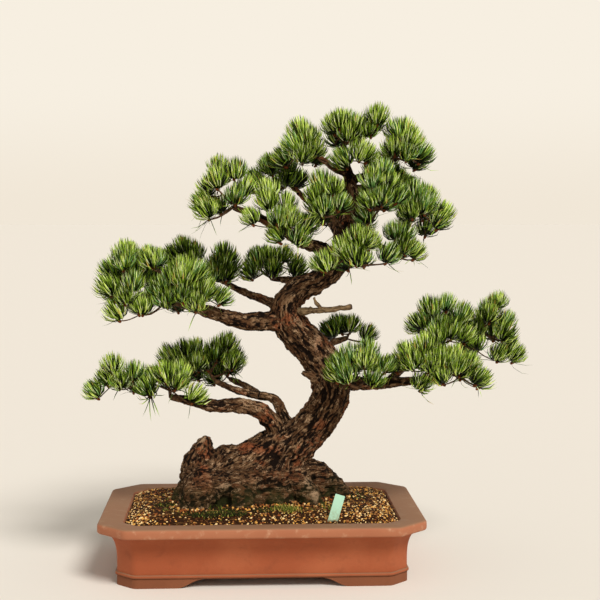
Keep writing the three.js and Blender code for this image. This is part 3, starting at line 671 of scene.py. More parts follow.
@dataclass(frozen=True)
class ClayFinish:
    """Unglazed red clay, greyed on what faces up and smudged with lime on the rim."""

    red: Colour = tint(152, 78, 46)
    light: Colour = tint(166, 92, 58)
    dark: Colour = tint(128, 66, 40)
    dust: Colour = tint(136, 106, 80)
    lime: Colour = tint(206, 164, 132)
    worn: Colour = tint(168, 112, 82)
    grime: Colour = tint(96, 66, 44)
    rim_height: float = 0.0752
    foot_height: float = 0.018

    def material(self) -> bpy.types.Material:
        """Mixes the finish.

        Returns:
            The material.
        """
        graph = Graph(bpy.data.materials.new("clay"))
        height = graph.part(2)
        broad = graph.noise(14, 4, 0.55)
        streaks = graph.noise(55, 5, 0.6)
        grain = graph.noise(900, 4, 0.65)
        colour = graph.mix(broad.step(0.35, 0.7), self.red, self.light)
        colour = graph.mix(streaks.step(0.5, 0.75) * 0.5, colour, self.dark)
        rim = height.step(self.rim_height - 0.0004, self.rim_height + 0.0004)
        colour = graph.mix(rim * (0.45 + 0.4 * broad), colour, self.worn)
        chalk = streaks.step(0.52, 0.75) * rim * 0.6
        colour = graph.mix(chalk, colour, self.lime)
        upward = graph.facing((0.0, 0.0, 1.0)).step(0.3, 0.95)
        low = 1 - height.step(self.foot_height - 0.004, self.foot_height)
        colour = graph.mix(upward * (0.62 + 0.3 * broad), colour, self.dust)
        colour = graph.mix(low * 0.62, colour, self.grime)
        colour = graph.mix(grain.step(0.58, 0.8) * 0.25, colour, self.dark)
        graph.bump(grain * 0.6 + streaks * 0.8, 0.35, 0.0006)
        return graph.surface(Base_Color=colour, Roughness=0.62 + 0.25 * grain, Specular_IOR_Level=0.25)


@dataclass(frozen=True)
class BarkFinish:
    """Old bark: black cracks, ragged brown flakes with pale flecks that are partly painted highlights, rust
    and pale patches, moss at the foot.
    """

    crack: Colour = tint(21, 10, 4)
    deep: Colour = tint(54, 32, 17)
    plate: Colour = tint(98, 68, 44)
    pale: Colour = tint(156, 124, 92)
    fleck_and_highlight: Colour = tint(216, 180, 142)
    rust: Colour = tint(154, 82, 48)
    moss: Colour = tint(48, 50, 20)
    foot: tuple[float, float] = (0.096, 0.142)
    flake_scale: float = 230

    def material(self) -> bpy.types.Material:
        """Reads the plates' height, places along the limb and patches from the mesh.

        Returns:
            The material.
        """
        graph = Graph(bpy.data.materials.new("bark"))
        height = graph.part(2)
        run = graph.stretched(graph.attribute("run", "Vector"), (1.0, 1.0, 0.55))
        ragged = graph.shaken(run, 150, 0.009)
        edge, lot = graph.flakes(ragged, self.flake_scale)
        fibre = graph.noise(420, 6, 0.7, graph.stretched(run, (1.0, 1.0, 0.45)))
        broad = graph.noise(34, 3, 0.5)
        blotch = graph.noise(130, 4, 0.6, run)
        fine = graph.noise(800, 4, 0.7)
        relief = graph.attribute("relief")
        colour = graph.mix(fibre.step(0.32, 0.6), self.deep, self.plate)
        colour = graph.mix(blotch.step(0.46, 0.66) * fibre.step(0.38, 0.58), colour, self.pale)
        # Pale flecks on some flakes: partly the bark's own pale bits, partly painted highlights
        colour = graph.mix(lot.step(0.8, 0.9) * fine.step(0.45, 0.6) * 0.8, colour, self.fleck_and_highlight)
        colour = graph.mix(graph.attribute("warm") * (0.25 + blotch * 0.9), colour, self.rust)
        colour = graph.mix(graph.attribute("bare") * (0.35 + fibre * 0.6), colour, self.fleck_and_highlight)
        ridge = relief * 0.8 + edge.step(0.0, 0.12) * 0.18 + (fibre - 0.5) * 0.9 + (blotch - 0.5) * 0.5
        # Black in the cracks, and in the sunken hollows, where it is painted shade
        colour = graph.mix(1 - ridge.step(0.22, 0.6), colour, self.crack)
        low = 1 - height.step(*self.foot)
        moss = low * (0.35 + 0.65 * broad.step(0.4, 0.6)) * fine.step(0.3, 0.5) * 0.9
        colour = graph.mix(moss, colour, self.moss)
        graph.bump(edge.step(0.0, 0.22) * 0.25 + lot * 0.25 + fibre * 1.2 + fine * 0.5, 1.0, 0.0022)
        return graph.surface(Base_Color=colour, Roughness=0.95 - 0.1 * fine, Specular_IOR_Level=0.12)


@dataclass(frozen=True)
class WoodFinish:
    """Grey dead wood with a fine grain, or the thin bark of twigs."""

    name: str
    light: Colour
    dark: Colour
    scale: float = 260
    spread: float = 1.0
    dark_end: float = 9.0

    def material(self) -> bpy.types.Material:
        """Draws the grain out along X by spread, and darkens it beyond the end.

        Returns:
            The material.
        """
        graph = Graph(bpy.data.materials.new(self.name))
        place = graph.stretched(graph.place(), (1 / self.spread, 1.0, 1.0))
        along = graph.part(0)
        broad = graph.noise(self.scale / 5, 3, 0.5)
        fine = graph.noise(self.scale, 4, 0.6, place)
        share = fine.step(0.35, 0.65) * 0.65 + broad.step(0.35, 0.7) * 0.35
        share = share * (1 - along.step(self.dark_end - 0.007, self.dark_end))
        colour = graph.mix(share, self.dark, self.light)
        graph.bump(fine, 0.6, 0.0007)
        return graph.surface(Base_Color=colour, Roughness=0.75 + 0.2 * broad, Specular_IOR_Level=0.15)


@dataclass(frozen=True)
class SoilFinish:
    """Damp earth, which shows between the grains."""

    dark: Colour = tint(28, 14, 6)
    light: Colour = tint(74, 44, 20)

    def material(self) -> bpy.types.Material:
        """Mixes the finish.

        Returns:
            The material.
        """
        graph = Graph(bpy.data.materials.new("soil"))
        fine = graph.noise(350, 5, 0.7)
        graph.bump(fine, 1.0, 0.002)
        colour = graph.mix(fine.step(0.3, 0.75), self.dark, self.light)
        return graph.surface(Base_Color=colour, Roughness=0.85 + 0.15 * fine, Specular_IOR_Level=0.1)


@dataclass(frozen=True)
class LabelFinish:
    """A matt mint-green plastic label, a little stained near the soil."""

    mint: Colour = tint(172, 216, 190)
    stain: Colour = tint(150, 150, 110)

    def material(self) -> bpy.types.Material:
        """Mixes the finish.

        Returns:
            The material.
        """
        graph = Graph(bpy.data.materials.new("label"))
        height = graph.part(2)
        fine = graph.noise(240, 4, 0.6)
        low = 1 - height.step(0.09, 0.112)
        colour = graph.mix(low * fine.step(0.35, 0.7) * 0.7, self.mint, self.stain)
        graph.bump(fine, 0.15, 0.0003)
        return graph.surface(Base_Color=colour, Roughness=0.45 + 0.15 * fine)


# Limbs


def trace(route: Route, step: float) -> tuple[np.ndarray, np.ndarray]:
    """Even steps along a smooth curve through a route's points.

    Args:
        route: Points as x, y, z and radius.
        step: About how far apart the steps are.

    Returns:
        The points and their radii.
    """
    knots = np.array(route, float)
    points = knots[:, :3]
    chord = np.linalg.norm(np.diff(points, axis=0), axis=1).sum()
    steps = max(2, math.floor(chord / step + 0.5))
    place = np.arange(steps + 1) / steps * (len(points) - 1)
    before = np.minimum(place.astype(int), len(points) - 2)
    ends = np.vstack([2 * points[0] - points[1], points, 2 * points[-1] - points[-2]])
    p0, p1, p2, p3 = (ends[before + k] for k in range(4))
    leave = 0.5 * (p2 - p0)
    arrive = 0.5 * (p3 - p1)
    w = (place - before)[:, None]
    curve = (p1 + w * leave + w**2 * (3 * p2 - 3 * p1 - 2 * leave - arrive)
             + w**3 * (2 * p1 - 2 * p2 + leave + arrive))
    return curve, np.interp(place, np.arange(len(points)), knots[:, 3])


def carried_frames(points: np.ndarray) -> tuple[np.ndarray, np.ndarray, np.ndarray]:
    """Directions along a line and across it, carried along without a twist.

    Args:
        points: The line's points.

    Returns:
        The tangents, and two sets of directions across them.
    """
    tangents = unit(np.gradient(points, axis=0))
    across = np.zeros_like(points)
    normal = np.array([0.0, 1.0, 0.0]) if abs(tangents[0][1]) <= 0.8 else np.array([1.0, 0.0, 0.0])
    for i, tangent in enumerate(tangents):
        normal = unit(normal - (normal @ tangent) * tangent)
        across[i] = normal
    return tangents, across, np.cross(tangents, across)


def tube(points: np.ndarray, radii: np.ndarray, sides: int) -> tuple[np.ndarray, np.ndarray]:
    """A closed tube of rings along a line, with flat ends.

    Args:
        points: The line.
        radii: The radius at each point.
        sides: How many sides the tube has.

    Returns:
        Its points, and its faces as triangles.
    """
    _, across, third = carried_frames(points)
    angle = np.arange(sides) * 2 * np.pi / sides
    rings = (points[:, None] + radii[:, None, None] * (
        np.cos(angle)[None, :, None] * across[:, None] + np.sin(angle)[None, :, None] * third[:, None]))
    body = np.concatenate([rings.reshape(-1, 3), points[:1], points[-1:]])
    level, side = np.meshgrid(np.arange(len(points) - 1), np.arange(sides), indexing="ij")
    low = (level * sides + side).ravel()
    low_next = (level * sides + (side + 1) % sides).ravel()
    walls = np.concatenate([
        np.stack([low, low_next, low_next + sides], axis=1),
        np.stack([low, low_next + sides, low + sides], axis=1)])
    k = np.arange(sides)
    last = (len(points) - 1) * sides
    start_cap = np.stack([np.full(sides, len(points) * sides), (k + 1) % sides, k], axis=1)
    end_cap = np.stack([np.full(sides, len(points) * sides + 1), last + k, last + (k + 1) % sides], axis=1)
    return body, np.concatenate([walls, start_cap, end_cap])


def segment_gaps(p: np.ndarray, q: np.ndarray, a: np.ndarray,
                 b: np.ndarray) -> tuple[np.ndarray, np.ndarray]:
    """The gaps between one straight piece and many.

    Args:
        p: The one piece's start.
        q: Its end.
        a: The others' starts.
        b: Their ends.

    Returns:
        The gaps, and how far along each of the others its nearest point is.
    """
    along = q - p
    other = b - a
    between = p - a
    aa = along @ along
    bb = (other * other).sum(1)
    ab = other @ along
    ac = between @ along
    bc = (other * between).sum(1)
    spread = aa * bb - ab * ab
    s = np.where(spread > 1e-9, np.clip((ab * bc - ac * bb) / np.maximum(spread, 1e-9), 0, 1), 0)
    t = np.clip((ab * s + bc) / bb, 0, 1)
    s = np.clip((ab * t - ac) / aa, 0, 1)
    nearest = between + s[:, None] * along - t[:, None] * other
    return np.linalg.norm(nearest, axis=1), t


@dataclass
class Skeleton:
    """The trunk and boughs as lines with radii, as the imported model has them."""

    trunk_step: float = 20
    bough_step: float = 24
    clear_beyond: float = 160
    ends: dict[str, tuple[np.ndarray, np.ndarray, float]] = field(default_factory=dict)

    def __post_init__(self) -> None:
        """Traces every limb."""
        parts = []
        limbs = {name: (route, self.bough_step) for name, route in BOUGHS.items()}
        limbs["trunk"] = (TRUNK, self.trunk_step)
        limbs["jin"] = (JIN, self.bough_step)
        limbs["jin_fork"] = (JIN_FORK, self.bough_step / 2)
        for name, (route, step) in limbs.items():
            points, radii = trace(route, step)
            self.ends[name] = (points[-1], unit(points[-1] - points[-2]), radii[-1])
            parts.append((points[:-1], points[1:], radii[:-1], radii[1:]))
        self.starts, self.stops, self.first, self.last = (np.concatenate(part) for part in zip(*parts))

    def clearance(self, p: np.ndarray, q: np.ndarray) -> float:
        """The clear distance from a straight piece to the nearest limb.

        Args:
            p: The piece's start.
            q: Its end.

        Returns:
            The distance, in millimetres.
        """
        near = np.linalg.norm(self.starts - p, axis=1) <= self.clear_beyond
        if not near.any():
            return math.inf
        gaps, t = segment_gaps(p, q, self.starts[near], self.stops[near])
        radius = self.first[near] * (1 - t) + self.last[near] * t
        return float((gaps - radius).min())


# Twigs and tufts


@dataclass(eq=False)
class Tuft:
    """A tuft's place, axis, size and turn, the pad that it belongs to and its shade."""

    point: np.ndarray
    axis: np.ndarray
    size: float
    pad: int
    spin: float
    height: float
    shade: float


@dataclass(eq=False)
class Twig:
    """A straight twig from its place on a carrier to the foot of its tuft."""

    start: np.ndarray
    stop: np.ndarray
    above: "Twig | None" = None
    path: float = 0.0
    tuft: Tuft | None = None
    load: int = 0
    thick: float = 0.0
    thin: float = 0.0


@dataclass(eq=False)
class Place:
    """A place on a twig that can carry another."""

    point: np.ndarray
    twig: Twig
    path: float


@dataclass(frozen=True)
class GrowthRule:
    """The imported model's sizes for twigs and tufts, and those of the finer shoots."""

    check_step: float = 4
    core_width: float = 7.6
    core_length: float = 11
    foot_share: float = 0.7
    spread: float = 0.75
    lean: float = 0.3
    jitter: float = 9
    least_size: float = 0.9
    more_size: float = 0.2
    follow: float = 0.6
    tip: float = 1.5
    growth: float = 0.42
    path_cost: float = 0.3
    stem: float = 10
    stem_width: float = 0.95
    narrowing: float = 0.8
    least_width: float = 0.9
    stem_places: tuple[float, ...] = (0.55, 0.8, 0.98)
    places: tuple[float, ...] = (0.4, 0.72)
    of_carrier: float = 0.6
    twig_clear: float = 2.4
    fine_seed: int = 1000
    fine_more: float = 5.0
    fine_size: float = 0.94
    fine_core: float = 0.6
    fine_beside: float = 0.7
    fine_least: float = 7.0
    fine_out: float = 7.0
    fine_places: tuple[float, ...] = (0.28, 0.56, 0.86)
    fine_clear: float = 3.0
    fine_sink: float = 0.12


class Mass:
    """One foliage mass: twigs that branch from a stem, each with a tuft at its end."""

    def __init__(self, name: str, seed: int, skeleton: Skeleton, rule: GrowthRule) -> None:
        """Grows the mass.

        Args:
            name: Its name among the masses.
            seed: Its number among the masses.
            skeleton: The limbs.
            rule: The sizes.
        """
        self.name = name
        self.skeleton = skeleton
        self.rule = rule
        self.clump = MASSES[name]
        self.pads = self.clump.pads
        self.walls = [self._walls(pad) for pad in self.pads]
        end, direction, radius = skeleton.ends[name if name in BOUGHS else "trunk"]
        root = end + direction * GAP
        self.stem = Twig(root, root + direction * rule.stem)
        self.stem.thick = radius * rule.stem_width
        self.stem.thin = self.stem.thick * rule.narrowing
        self.twigs: list[Twig] = []
        self.places: list[Place] = []
        self._offer(self.stem, rule.stem_places)
        self._grow(self._lay(Chance(seed)), fine=False)
        for twig in self.twigs:
            self._offer(twig, rule.fine_places)
        self._grow(self._lay_fine(Chance(rule.fine_seed + seed)), fine=True)
        self._thicken()

    def _walls(self, pad: Pad) -> tuple[np.ndarray, np.ndarray]:
        """The flat walls of a pad's own space, between it and the other masses' pads.

        Args:
            pad: The pad.

        Returns:
            The walls' directions, and how far out each wall stands.
        """
        normals, limits = [], []
        centre = np.array(pad.at, float)
        for other in [other for name, clump in MASSES.items() if name != self.name
                      for other in clump.pads]:
            normal = np.array(other.at, float) - centre
            distance = float(np.linalg.norm(normal))
            normal /= distance
            offset = (distance**2 + pad.size**2 - other.size**2) / (2 * distance)
            normals.append(normal)
            limits.append(normal @ centre + offset)
        return np.array(normals), np.array(limits)

    def room(self, pad: int, points: np.ndarray) -> np.ndarray:
        """How far points lie inside a pad's walls.

        Args:
            pad: The pad's number.
            points: One point or many.

        Returns:
            The least distance to a wall, for each point.
        """
        normals, limits = self.walls[pad]
        return (limits - points @ normals.T).min(axis=-1)

    def _keeps_in(self, start: np.ndarray, stop: np.ndarray, radius: float) -> bool:
        """Whether a twig stays in the mass's spaces over its whole length.

        Args:
            start: Its start.
            stop: Its end.
            radius: Its radius.

        Returns:
            True if it does.
        """
        steps = max(1, math.ceil(np.linalg.norm(stop - start) / self.rule.check_step))
        share = np.arange(steps + 1)[:, None] / steps
        points = start + (stop - start) * share
        room = np.max([self.room(pad, points) for pad in range(len(self.pads))], axis=0)
        return bool((room >= radius + GAP).all())

    def _offer(self, twig: Twig, shares: Iterable[float]) -> None:
        """Adds places along a twig.

        Args:
            twig: The twig.
            shares: The shares of its length at which they lie.
        """
        length = float(np.linalg.norm(twig.stop - twig.start))
        for share in shares:
            point = twig.start + (twig.stop - twig.start) * share
            self.places.append(Place(point, twig, twig.path + length * share))

    def _spot(self, number: int, rho: float, theta: float, out_by: float, rand: Chance) -> Tuft:
        """A tuft on the dome of a pad.

        Args:
            number: The pad's number.
            rho: How far out it stands, as a share of the pad's width.
            theta: At what angle.
            out_by: How far past the pad's own surface.
            rand: The mass's chance.

        Returns:
            The tuft.
        """
        rule = self.rule
        pad = self.pads[number]
        half = np.array(pad.half) + out_by
        out = np.array([rho * math.cos(theta), rho * math.sin(theta)])
        rise = 1 - 2 * rho * rho
        shift = np.array([rand() - 0.5, rand() - 0.5, rand() - 0.5]) * rule.jitter
        point = np.array(pad.at) + half * np.array([*out, rise]) + shift
        lean = [rule.lean * (rand() - 0.5), rule.lean * (rand() - 0.5)]
        axis = unit(np.array([rule.spread * out[0] + lean[0], rule.spread * out[1] + lean[1], 1.0]))
        size = rule.least_size + rule.more_size * rand()
        return Tuft(point, axis, size, number, rand() * 2 * math.pi, rise, self.clump.shade)

    def _lay(self, rand: Chance) -> list[Tuft]:
        """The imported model's tufts: a spiral over each pad, high in the middle.

        Args:
            rand: The mass's chance.

        Returns:
            The tufts.
        """
        tufts = []
        for number, pad in enumerate(self.pads):
            turn = rand() * 2 * math.pi
            for i in range(pad.tufts):
                rho = math.sqrt((i + 0.5) / pad.tufts)
                tufts.append(self._spot(number, rho, turn + i * GOLDEN, 0.0, rand))
        return tufts

    def _lay_fine(self, rand: Chance) -> list[Tuft]:
        """More tufts by the same spiral, where they find room between the first ones.

        Args:
            rand: The chance of the finer shoots.

        Returns:
            The tufts.
        """
        tufts = []
        taken = [twig.tuft.point for twig in self.twigs]
        for number, pad in enumerate(self.pads):
            turn = rand() * 2 * math.pi
            if pad.half[2] < self.rule.fine_least:
                continue
            count = round(pad.tufts * self.rule.fine_more)
            for i in range(count):
                rho = math.sqrt((i + 0.5) / count)
                tuft = self._spot(number, rho, turn + i * GOLDEN, self.rule.fine_out, rand)
                tuft.point[2] -= pad.half[2] * self.rule.fine_sink * (1 + rand())
                tuft.size *= self.rule.fine_size
                apart = [np.linalg.norm(tuft.point - other) for other in taken]
                if apart and min(apart) < self.clump.gap:
                    continue
                taken.append(tuft.point)
                tufts.append(tuft)
        return tufts

    def _grow(self, tufts: list[Tuft], fine: bool) -> None:
        """Joins tufts to the cheapest free place, the nearest to the stem first.

        Args:
            tufts: The tufts.
            fine: Whether they are those of the finer shoots.
        """
        rule = self.rule
        beside = rule.core_width * rule.fine_beside
        tufts = sorted(tufts, key=lambda tuft: float(np.linalg.norm(tuft.point - self.stem.stop)))
        for tuft in tufts:
            base = tuft.point - tuft.axis * rule.core_length * rule.foot_share
            least_room = rule.core_length * rule.fine_core if fine else rule.core_length + GAP
            if self.room(tuft.pad, tuft.point) < least_room:
                continue
            least_clear = beside if fine else rule.core_width * tuft.size + 2 * GAP
            if self.skeleton.clearance(base, tuft.point) < least_clear:
                continue
            best = self._best_place(base, fine)
            if best is None:
                continue
            self.places.remove(best)
            twig = Twig(best.point, base, best.twig, best.path, tuft)
            tuft.axis = unit(tuft.axis + unit(twig.stop - twig.start) * rule.follow)
            carrier: Twig | None = twig
            while carrier:
                carrier.load += 1
                carrier = carrier.above
            if not fine:
                self._offer(twig, rule.places)
            self.twigs.append(twig)

    def _best_place(self, base: np.ndarray, fine: bool) -> Place | None:
        """The free place with the lowest cost from which a twig can reach a tuft's foot.

        Args:
            base: The tuft's foot.
            fine: Whether the twig is a finer shoot.

        Returns:
            The place, or nothing where no twig can reach.
        """
        rule = self.rule
        width = rule.tip if fine else 2 * rule.tip
        clear = rule.fine_clear if fine else rule.twig_clear * rule.tip + GAP
        best, least = None, math.inf
        for place in self.places:
            length = float(np.linalg.norm(base - place.point))
            cost = length + rule.path_cost * place.path
            if cost >= least or length < 2 * rule.tip:
                continue
            if not self._keeps_in(place.point, base, width):
                continue
            if self.skeleton.clearance(place.point, base) < clear:
                continue
            best, least = place, cost
        return best

    def _thicken(self) -> None:
        """Sets the twigs' radii from what each carries."""
        rule = self.rule
        for twig in self.twigs:
            wanted = rule.tip * twig.load**rule.growth
            twig.thick = min(wanted, max(rule.of_carrier * twig.above.thick, rule.least_width))
            twig.thin = min(rule.narrowing * rule.tip, twig.thick)


# Needles


class Tone(Enum):
    """The plain colours that needles are dealt, in the order of their slots."""

    SHADE = tint(19, 26, 4)
    DEEP = tint(50, 68, 12)
    LEAF = tint(110, 140, 34)
    FRESH = tint(168, 200, 70)
    LIME = tint(222, 242, 122)
    SILVER = tint(238, 248, 192)
    GOLD = tint(198, 172, 84)
    COOL = tint(124, 172, 94)


# What one needle is dealt: its foot, middle and tip on the green side, then on the pale side
# The dark feet, in SHADE and DEEP, are painted shade deep inside the tuft
DEALS: list[tuple[Tone, Tone, Tone, Tone, Tone, Tone]] = [
    (Tone.SHADE, Tone.SHADE, Tone.DEEP, Tone.SHADE, Tone.SHADE, Tone.DEEP),
    (Tone.SHADE, Tone.DEEP, Tone.LEAF, Tone.SHADE, Tone.DEEP, Tone.DEEP),
    (Tone.SHADE, Tone.LEAF, Tone.LEAF, Tone.SHADE, Tone.LEAF, Tone.FRESH),
    (Tone.DEEP, Tone.LEAF, Tone.FRESH, Tone.DEEP, Tone.SILVER, Tone.FRESH),
    (Tone.DEEP, Tone.FRESH, Tone.LIME, Tone.DEEP, Tone.SILVER, Tone.LIME),
    (Tone.DEEP, Tone.LIME, Tone.LIME, Tone.DEEP, Tone.FRESH, Tone.SILVER),
    (Tone.DEEP, Tone.FRESH, Tone.GOLD, Tone.DEEP, Tone.LIME, Tone.GOLD),
    (Tone.SHADE, Tone.COOL, Tone.COOL, Tone.SHADE, Tone.COOL, Tone.SILVER),
]

# How often each row is dealt: where it is sunny, in cool tufts, in the shade, to strays
SUNNY_SHARES = (0.15, 0.12, 0.16, 0.20, 0.20, 0.14, 0.03, 0.0)
COOL_SHARES = (0.18, 0.14, 0.15, 0.11, 0.08, 0.05, 0.01, 0.28)
SHADED_SHARES = (0.44, 0.24, 0.16, 0.07, 0.03, 0.01, 0.01, 0.04)
STRAY_SHARES = (0.1, 0.3, 0.3, 0.1, 0.0, 0.0, 0.2, 0.0)


@dataclass
class Needles:
    """The needles of every tuft, in pieces that the export can hold."""

    each: int = 112
    length: float = 28.0
    width: float = 2.15
    ridge: float = 0.28
    bearing: float = 8.0
    foot_out: float = 0.8
    widest: float = math.radians(80)
    closing: float = 0.2
    turn_jitter: float = 0.25
    polar_jitter: float = math.radians(3.5)
    closing_jitter: float = math.radians(4.5)
    stray_polar: tuple[float, float] = (math.radians(62), math.radians(118))
    spans: tuple[float, float, float] = (0.30, 0.35, 0.35)
    widths: tuple[float, float, float] = (0.7, 1.0, 0.86)
    upright: float = 0.8
    tuft_mood: float = 0.3
    cool_tufts: float = 0.4
    stray: float = 0.012
    low_stray: float = 0.035
    stray_width: float = 0.6
    back_shade: float = 0.2
    seed: int = 7
    pieces: int = 5

    def build(self, tufts: list[Tuft], rule: GrowthRule) -> list[bpy.types.Object]:
        """Makes the needles of all tufts.

        Args:
            tufts: The tufts.
            rule: The growth rule that placed them.

        Returns:
            The pieces, in order.
        """
        finishes = dealt_finishes(Tone, "needle", 0.5, 0.2)
        made = []
        groups = np.array_split(np.arange(len(tufts)), self.pieces)
        for number, group in enumerate(groups):
            shell = Shell()
            rng = np.random.default_rng(self.seed + number)
            self._brushes([tufts[i] for i in group], rule, rng, shell)
            made.append(shell.piece(f"needles_{number + 1}", finishes))
        return made

    def _brushes(self, tufts: list[Tuft], rule: GrowthRule, rng: np.random.Generator, shell: Shell) -> None:
        """Adds the needles of some tufts, each a folded blade of two sides.

        Args:
            tufts: The tufts.
            rule: The growth rule that placed them.
            rng: The piece's chance.
            shell: Takes the needles, and nothing before them.
        """
        n = self.each
        count = len(tufts) * n
        raised = unit(np.array([tuft.axis for tuft in tufts]) + self.upright * UP)
        axis = np.repeat(raised, n, axis=0)
        size = np.repeat([tuft.size for tuft in tufts], n)
        height = np.repeat([tuft.height for tuft in tufts], n)
        foot = np.repeat([tuft.point - tuft.axis * rule.core_length * rule.foot_share
                          for tuft in tufts], n, axis=0)
        spin = np.repeat([tuft.spin for tuft in tufts], n)
        order = np.tile(np.arange(n), len(tufts))
        share = (order + 0.5) / n
        across, third = perpendicular(axis)
        turn = spin + order * GOLDEN + rng.normal(0, self.turn_jitter, count)
        polar = self.widest * share**0.6 + rng.normal(0, self.polar_jitter, count)
        low = np.clip(-height, 0, 1)
        stray = rng.random(count) < self.stray + self.low_stray * low
        polar = np.where(stray, rng.uniform(*self.stray_polar, count), polar)
        out = np.cos(turn)[:, None] * across + np.sin(turn)[:, None] * third
        leave = np.cos(polar)[:, None] * axis + np.sin(polar)[:, None] * out
        closed = polar * self.closing + rng.normal(0, self.closing_jitter, count)
        closed = np.where(stray, polar + rng.uniform(-1.0, 0.5, count), closed)
        arrive = np.cos(closed)[:, None] * axis + np.sin(closed)[:, None] * out
        rise = self.bearing * (1 - share**0.8) * size * rng.uniform(0.8, 1.0, count)
        rise = np.where(stray, rng.uniform(-3, 4, count), rise)
        root = foot + axis * rise[:, None] + out * self.foot_out
        length = self.length * size * rng.uniform(0.9, 1.05, count)
        length = length * (0.96 + 0.2 * share) * (1 + 0.25 * stray * low)
        ways = (leave, unit(leave + arrive), arrive)
        line = [root]
        for way, span in zip(ways, self.spans):
            line.append(line[-1] + way * (span * length)[:, None])
        roll = rng.normal(0, 0.5, count)
        width = self.width * rng.uniform(0.85, 1.15, count) * size * np.where(stray, self.stray_width, 1)
        rows = []
        for place, way, scale in zip(line, ways, self.widths):
            outward = unit(out - (out * way).sum(1, keepdims=True) * way)
            side = np.cross(way, outward)
            turned = np.cos(roll)[:, None] * side + np.sin(roll)[:, None] * outward
            ridge = np.cos(roll)[:, None] * outward - np.sin(roll)[:, None] * side
            half = (0.5 * scale * width)[:, None]
            rows += [place - turned * half, place + ridge * half * 2 * self.ridge, place + turned * half]
        points = np.stack([*rows, line[3]], axis=1).reshape(-1, 3)
        behind = smoothstep(5, 60, foot[:, 1]) * self.back_shade
        behind = behind + np.repeat([tuft.shade for tuft in tufts], n)
        mood = np.repeat(rng.uniform(-self.tuft_mood, self.tuft_mood, len(tufts)), n)
        sunny = rng.random(count) < 0.78 + 0.2 * height - behind + mood
        cool = np.repeat(rng.random(len(tufts)) < self.cool_tufts, n)
        bright = np.where(cool, rng.choice(len(DEALS), count, p=COOL_SHARES),
                          rng.choice(len(DEALS), count, p=SUNNY_SHARES))
        deal = np.where(sunny, bright, rng.choice(len(DEALS), count, p=SHADED_SHARES))
        deal = np.where(stray, rng.choice(len(DEALS), count, p=STRAY_SHARES), deal)
        slots = list(Tone)
        tones = np.array([[slots.index(tone) for tone in row] for row in DEALS])[deal]
        starts = (np.arange(count) * 10)[:, None]
        blade = [[0, 1, 4, 3], [3, 4, 7, 6], [6, 7, 9], [1, 2, 5, 4], [4, 5, 8, 7], [7, 8, 9]]
        shell.points.append(points)
        shell.faces += [starts + corners for corners in blade]
        shell.finish_of += list(tones.T)


@dataclass
class Twigs:
    """The twigs of every mass, with a knuckle and brown scales at each tuft's foot."""

    sides: int = 6
    stem_sides: int = 8
    bud_sides: int = 7
    overlap: float = 6.0
    step: float = 9.0
    bend: float = 0.07
    bud_length: float = 9.0
    bud_width: float = 2.3
    seed: int = 11

    def build(self, masses: list[Mass]) -> tuple[bpy.types.Object, bpy.types.Object]:
        """Makes the twigs and the bud scales.

        Args:
            masses: The grown masses.

        Returns:
            The piece of twigs and the piece of scales.
        """
        rng = np.random.default_rng(self.seed)
        wood, scales = Shell(), Shell()
        for mass in masses:
            stem = mass.stem
            inside = stem.start - unit(stem.stop - stem.start) * self.overlap
            line = np.array([inside, stem.start, (stem.start + stem.stop) / 2, stem.stop])
            radii = np.array([stem.thick, stem.thick, stem.thick * 0.95, stem.thin])
            wood.add(*tube(line, radii, self.stem_sides))
            for twig in mass.twigs:
                self._twig(twig, rng, wood)
                self._bud(twig, rng, scales)
        bark = WoodFinish("twig_bark", tint(112, 82, 56), tint(40, 27, 18)).material()
        bud = WoodFinish("bud_scale", tint(150, 84, 42), tint(70, 38, 20), 500).material()
        return wood.piece("twigs", [bark]), scales.piece("bud_scales", [bud])

    def _twig(self, twig: Twig, rng: np.random.Generator, shell: Shell) -> None:
        """Adds one twig, bent a little and knobbly.

        Args:
            twig: The twig.
            rng: The chance of the twigs.
            shell: Takes the wood.
        """
        run = twig.stop - twig.start
        length = float(np.linalg.norm(run))
        steps = max(3, round(length / self.step))
        share = np.linspace(0, 1, steps + 1)[:, None]
        sideways = rng.normal(0, 1, 3) * self.bend * length
        sideways[2] = -abs(sideways[2])
        line = twig.start + run * share + sideways * (np.sin(np.pi * share))
        line = np.vstack([line, twig.stop + twig.tuft.axis * self.overlap])
        radii = np.interp(np.linspace(0, 1, len(line)), [0, 1], [twig.thick, twig.thin])
        radii = radii * rng.uniform(0.88, 1.16, len(line))
        shell.add(*tube(line, radii, self.sides))

    def _bud(self, twig: Twig, rng: np.random.Generator, shell: Shell) -> None:
        """Adds the brown scales at a tuft's foot.

        Args:
            twig: The twig under the tuft.
            rng: The chance of the twigs.
            shell: Takes the scales.
        """
        axis = twig.tuft.axis
        share = np.array([0.0, 0.25, 0.6, 1.0])
        line = twig.stop + axis * (share[:, None] * self.bud_length - 3.5)
        radii = self.bud_width * np.array([0.7, 1.0, 0.8, 0.35]) * rng.uniform(0.85, 1.15)
        shell.add(*tube(line, radii, self.bud_sides))


# Bark


@dataclass(frozen=True)
class Scar:
    """A place where the bark swells or sinks, or has a colour of its own.

    Its middle and half-widths are in millimetres, lift and rings say how far it moves the
    skin, and bare, warm and dark are shares of pale, rusty and black, where the black is painted shade.
    """

    at: tuple[float, float, float]
    half: tuple[float, float, float]
    lift: float = 0.0
    rings: float = 0.0
    ring_step: float = 9.0
    bare: float = 0.0
    warm: float = 0.0
    dark: float = 0.0
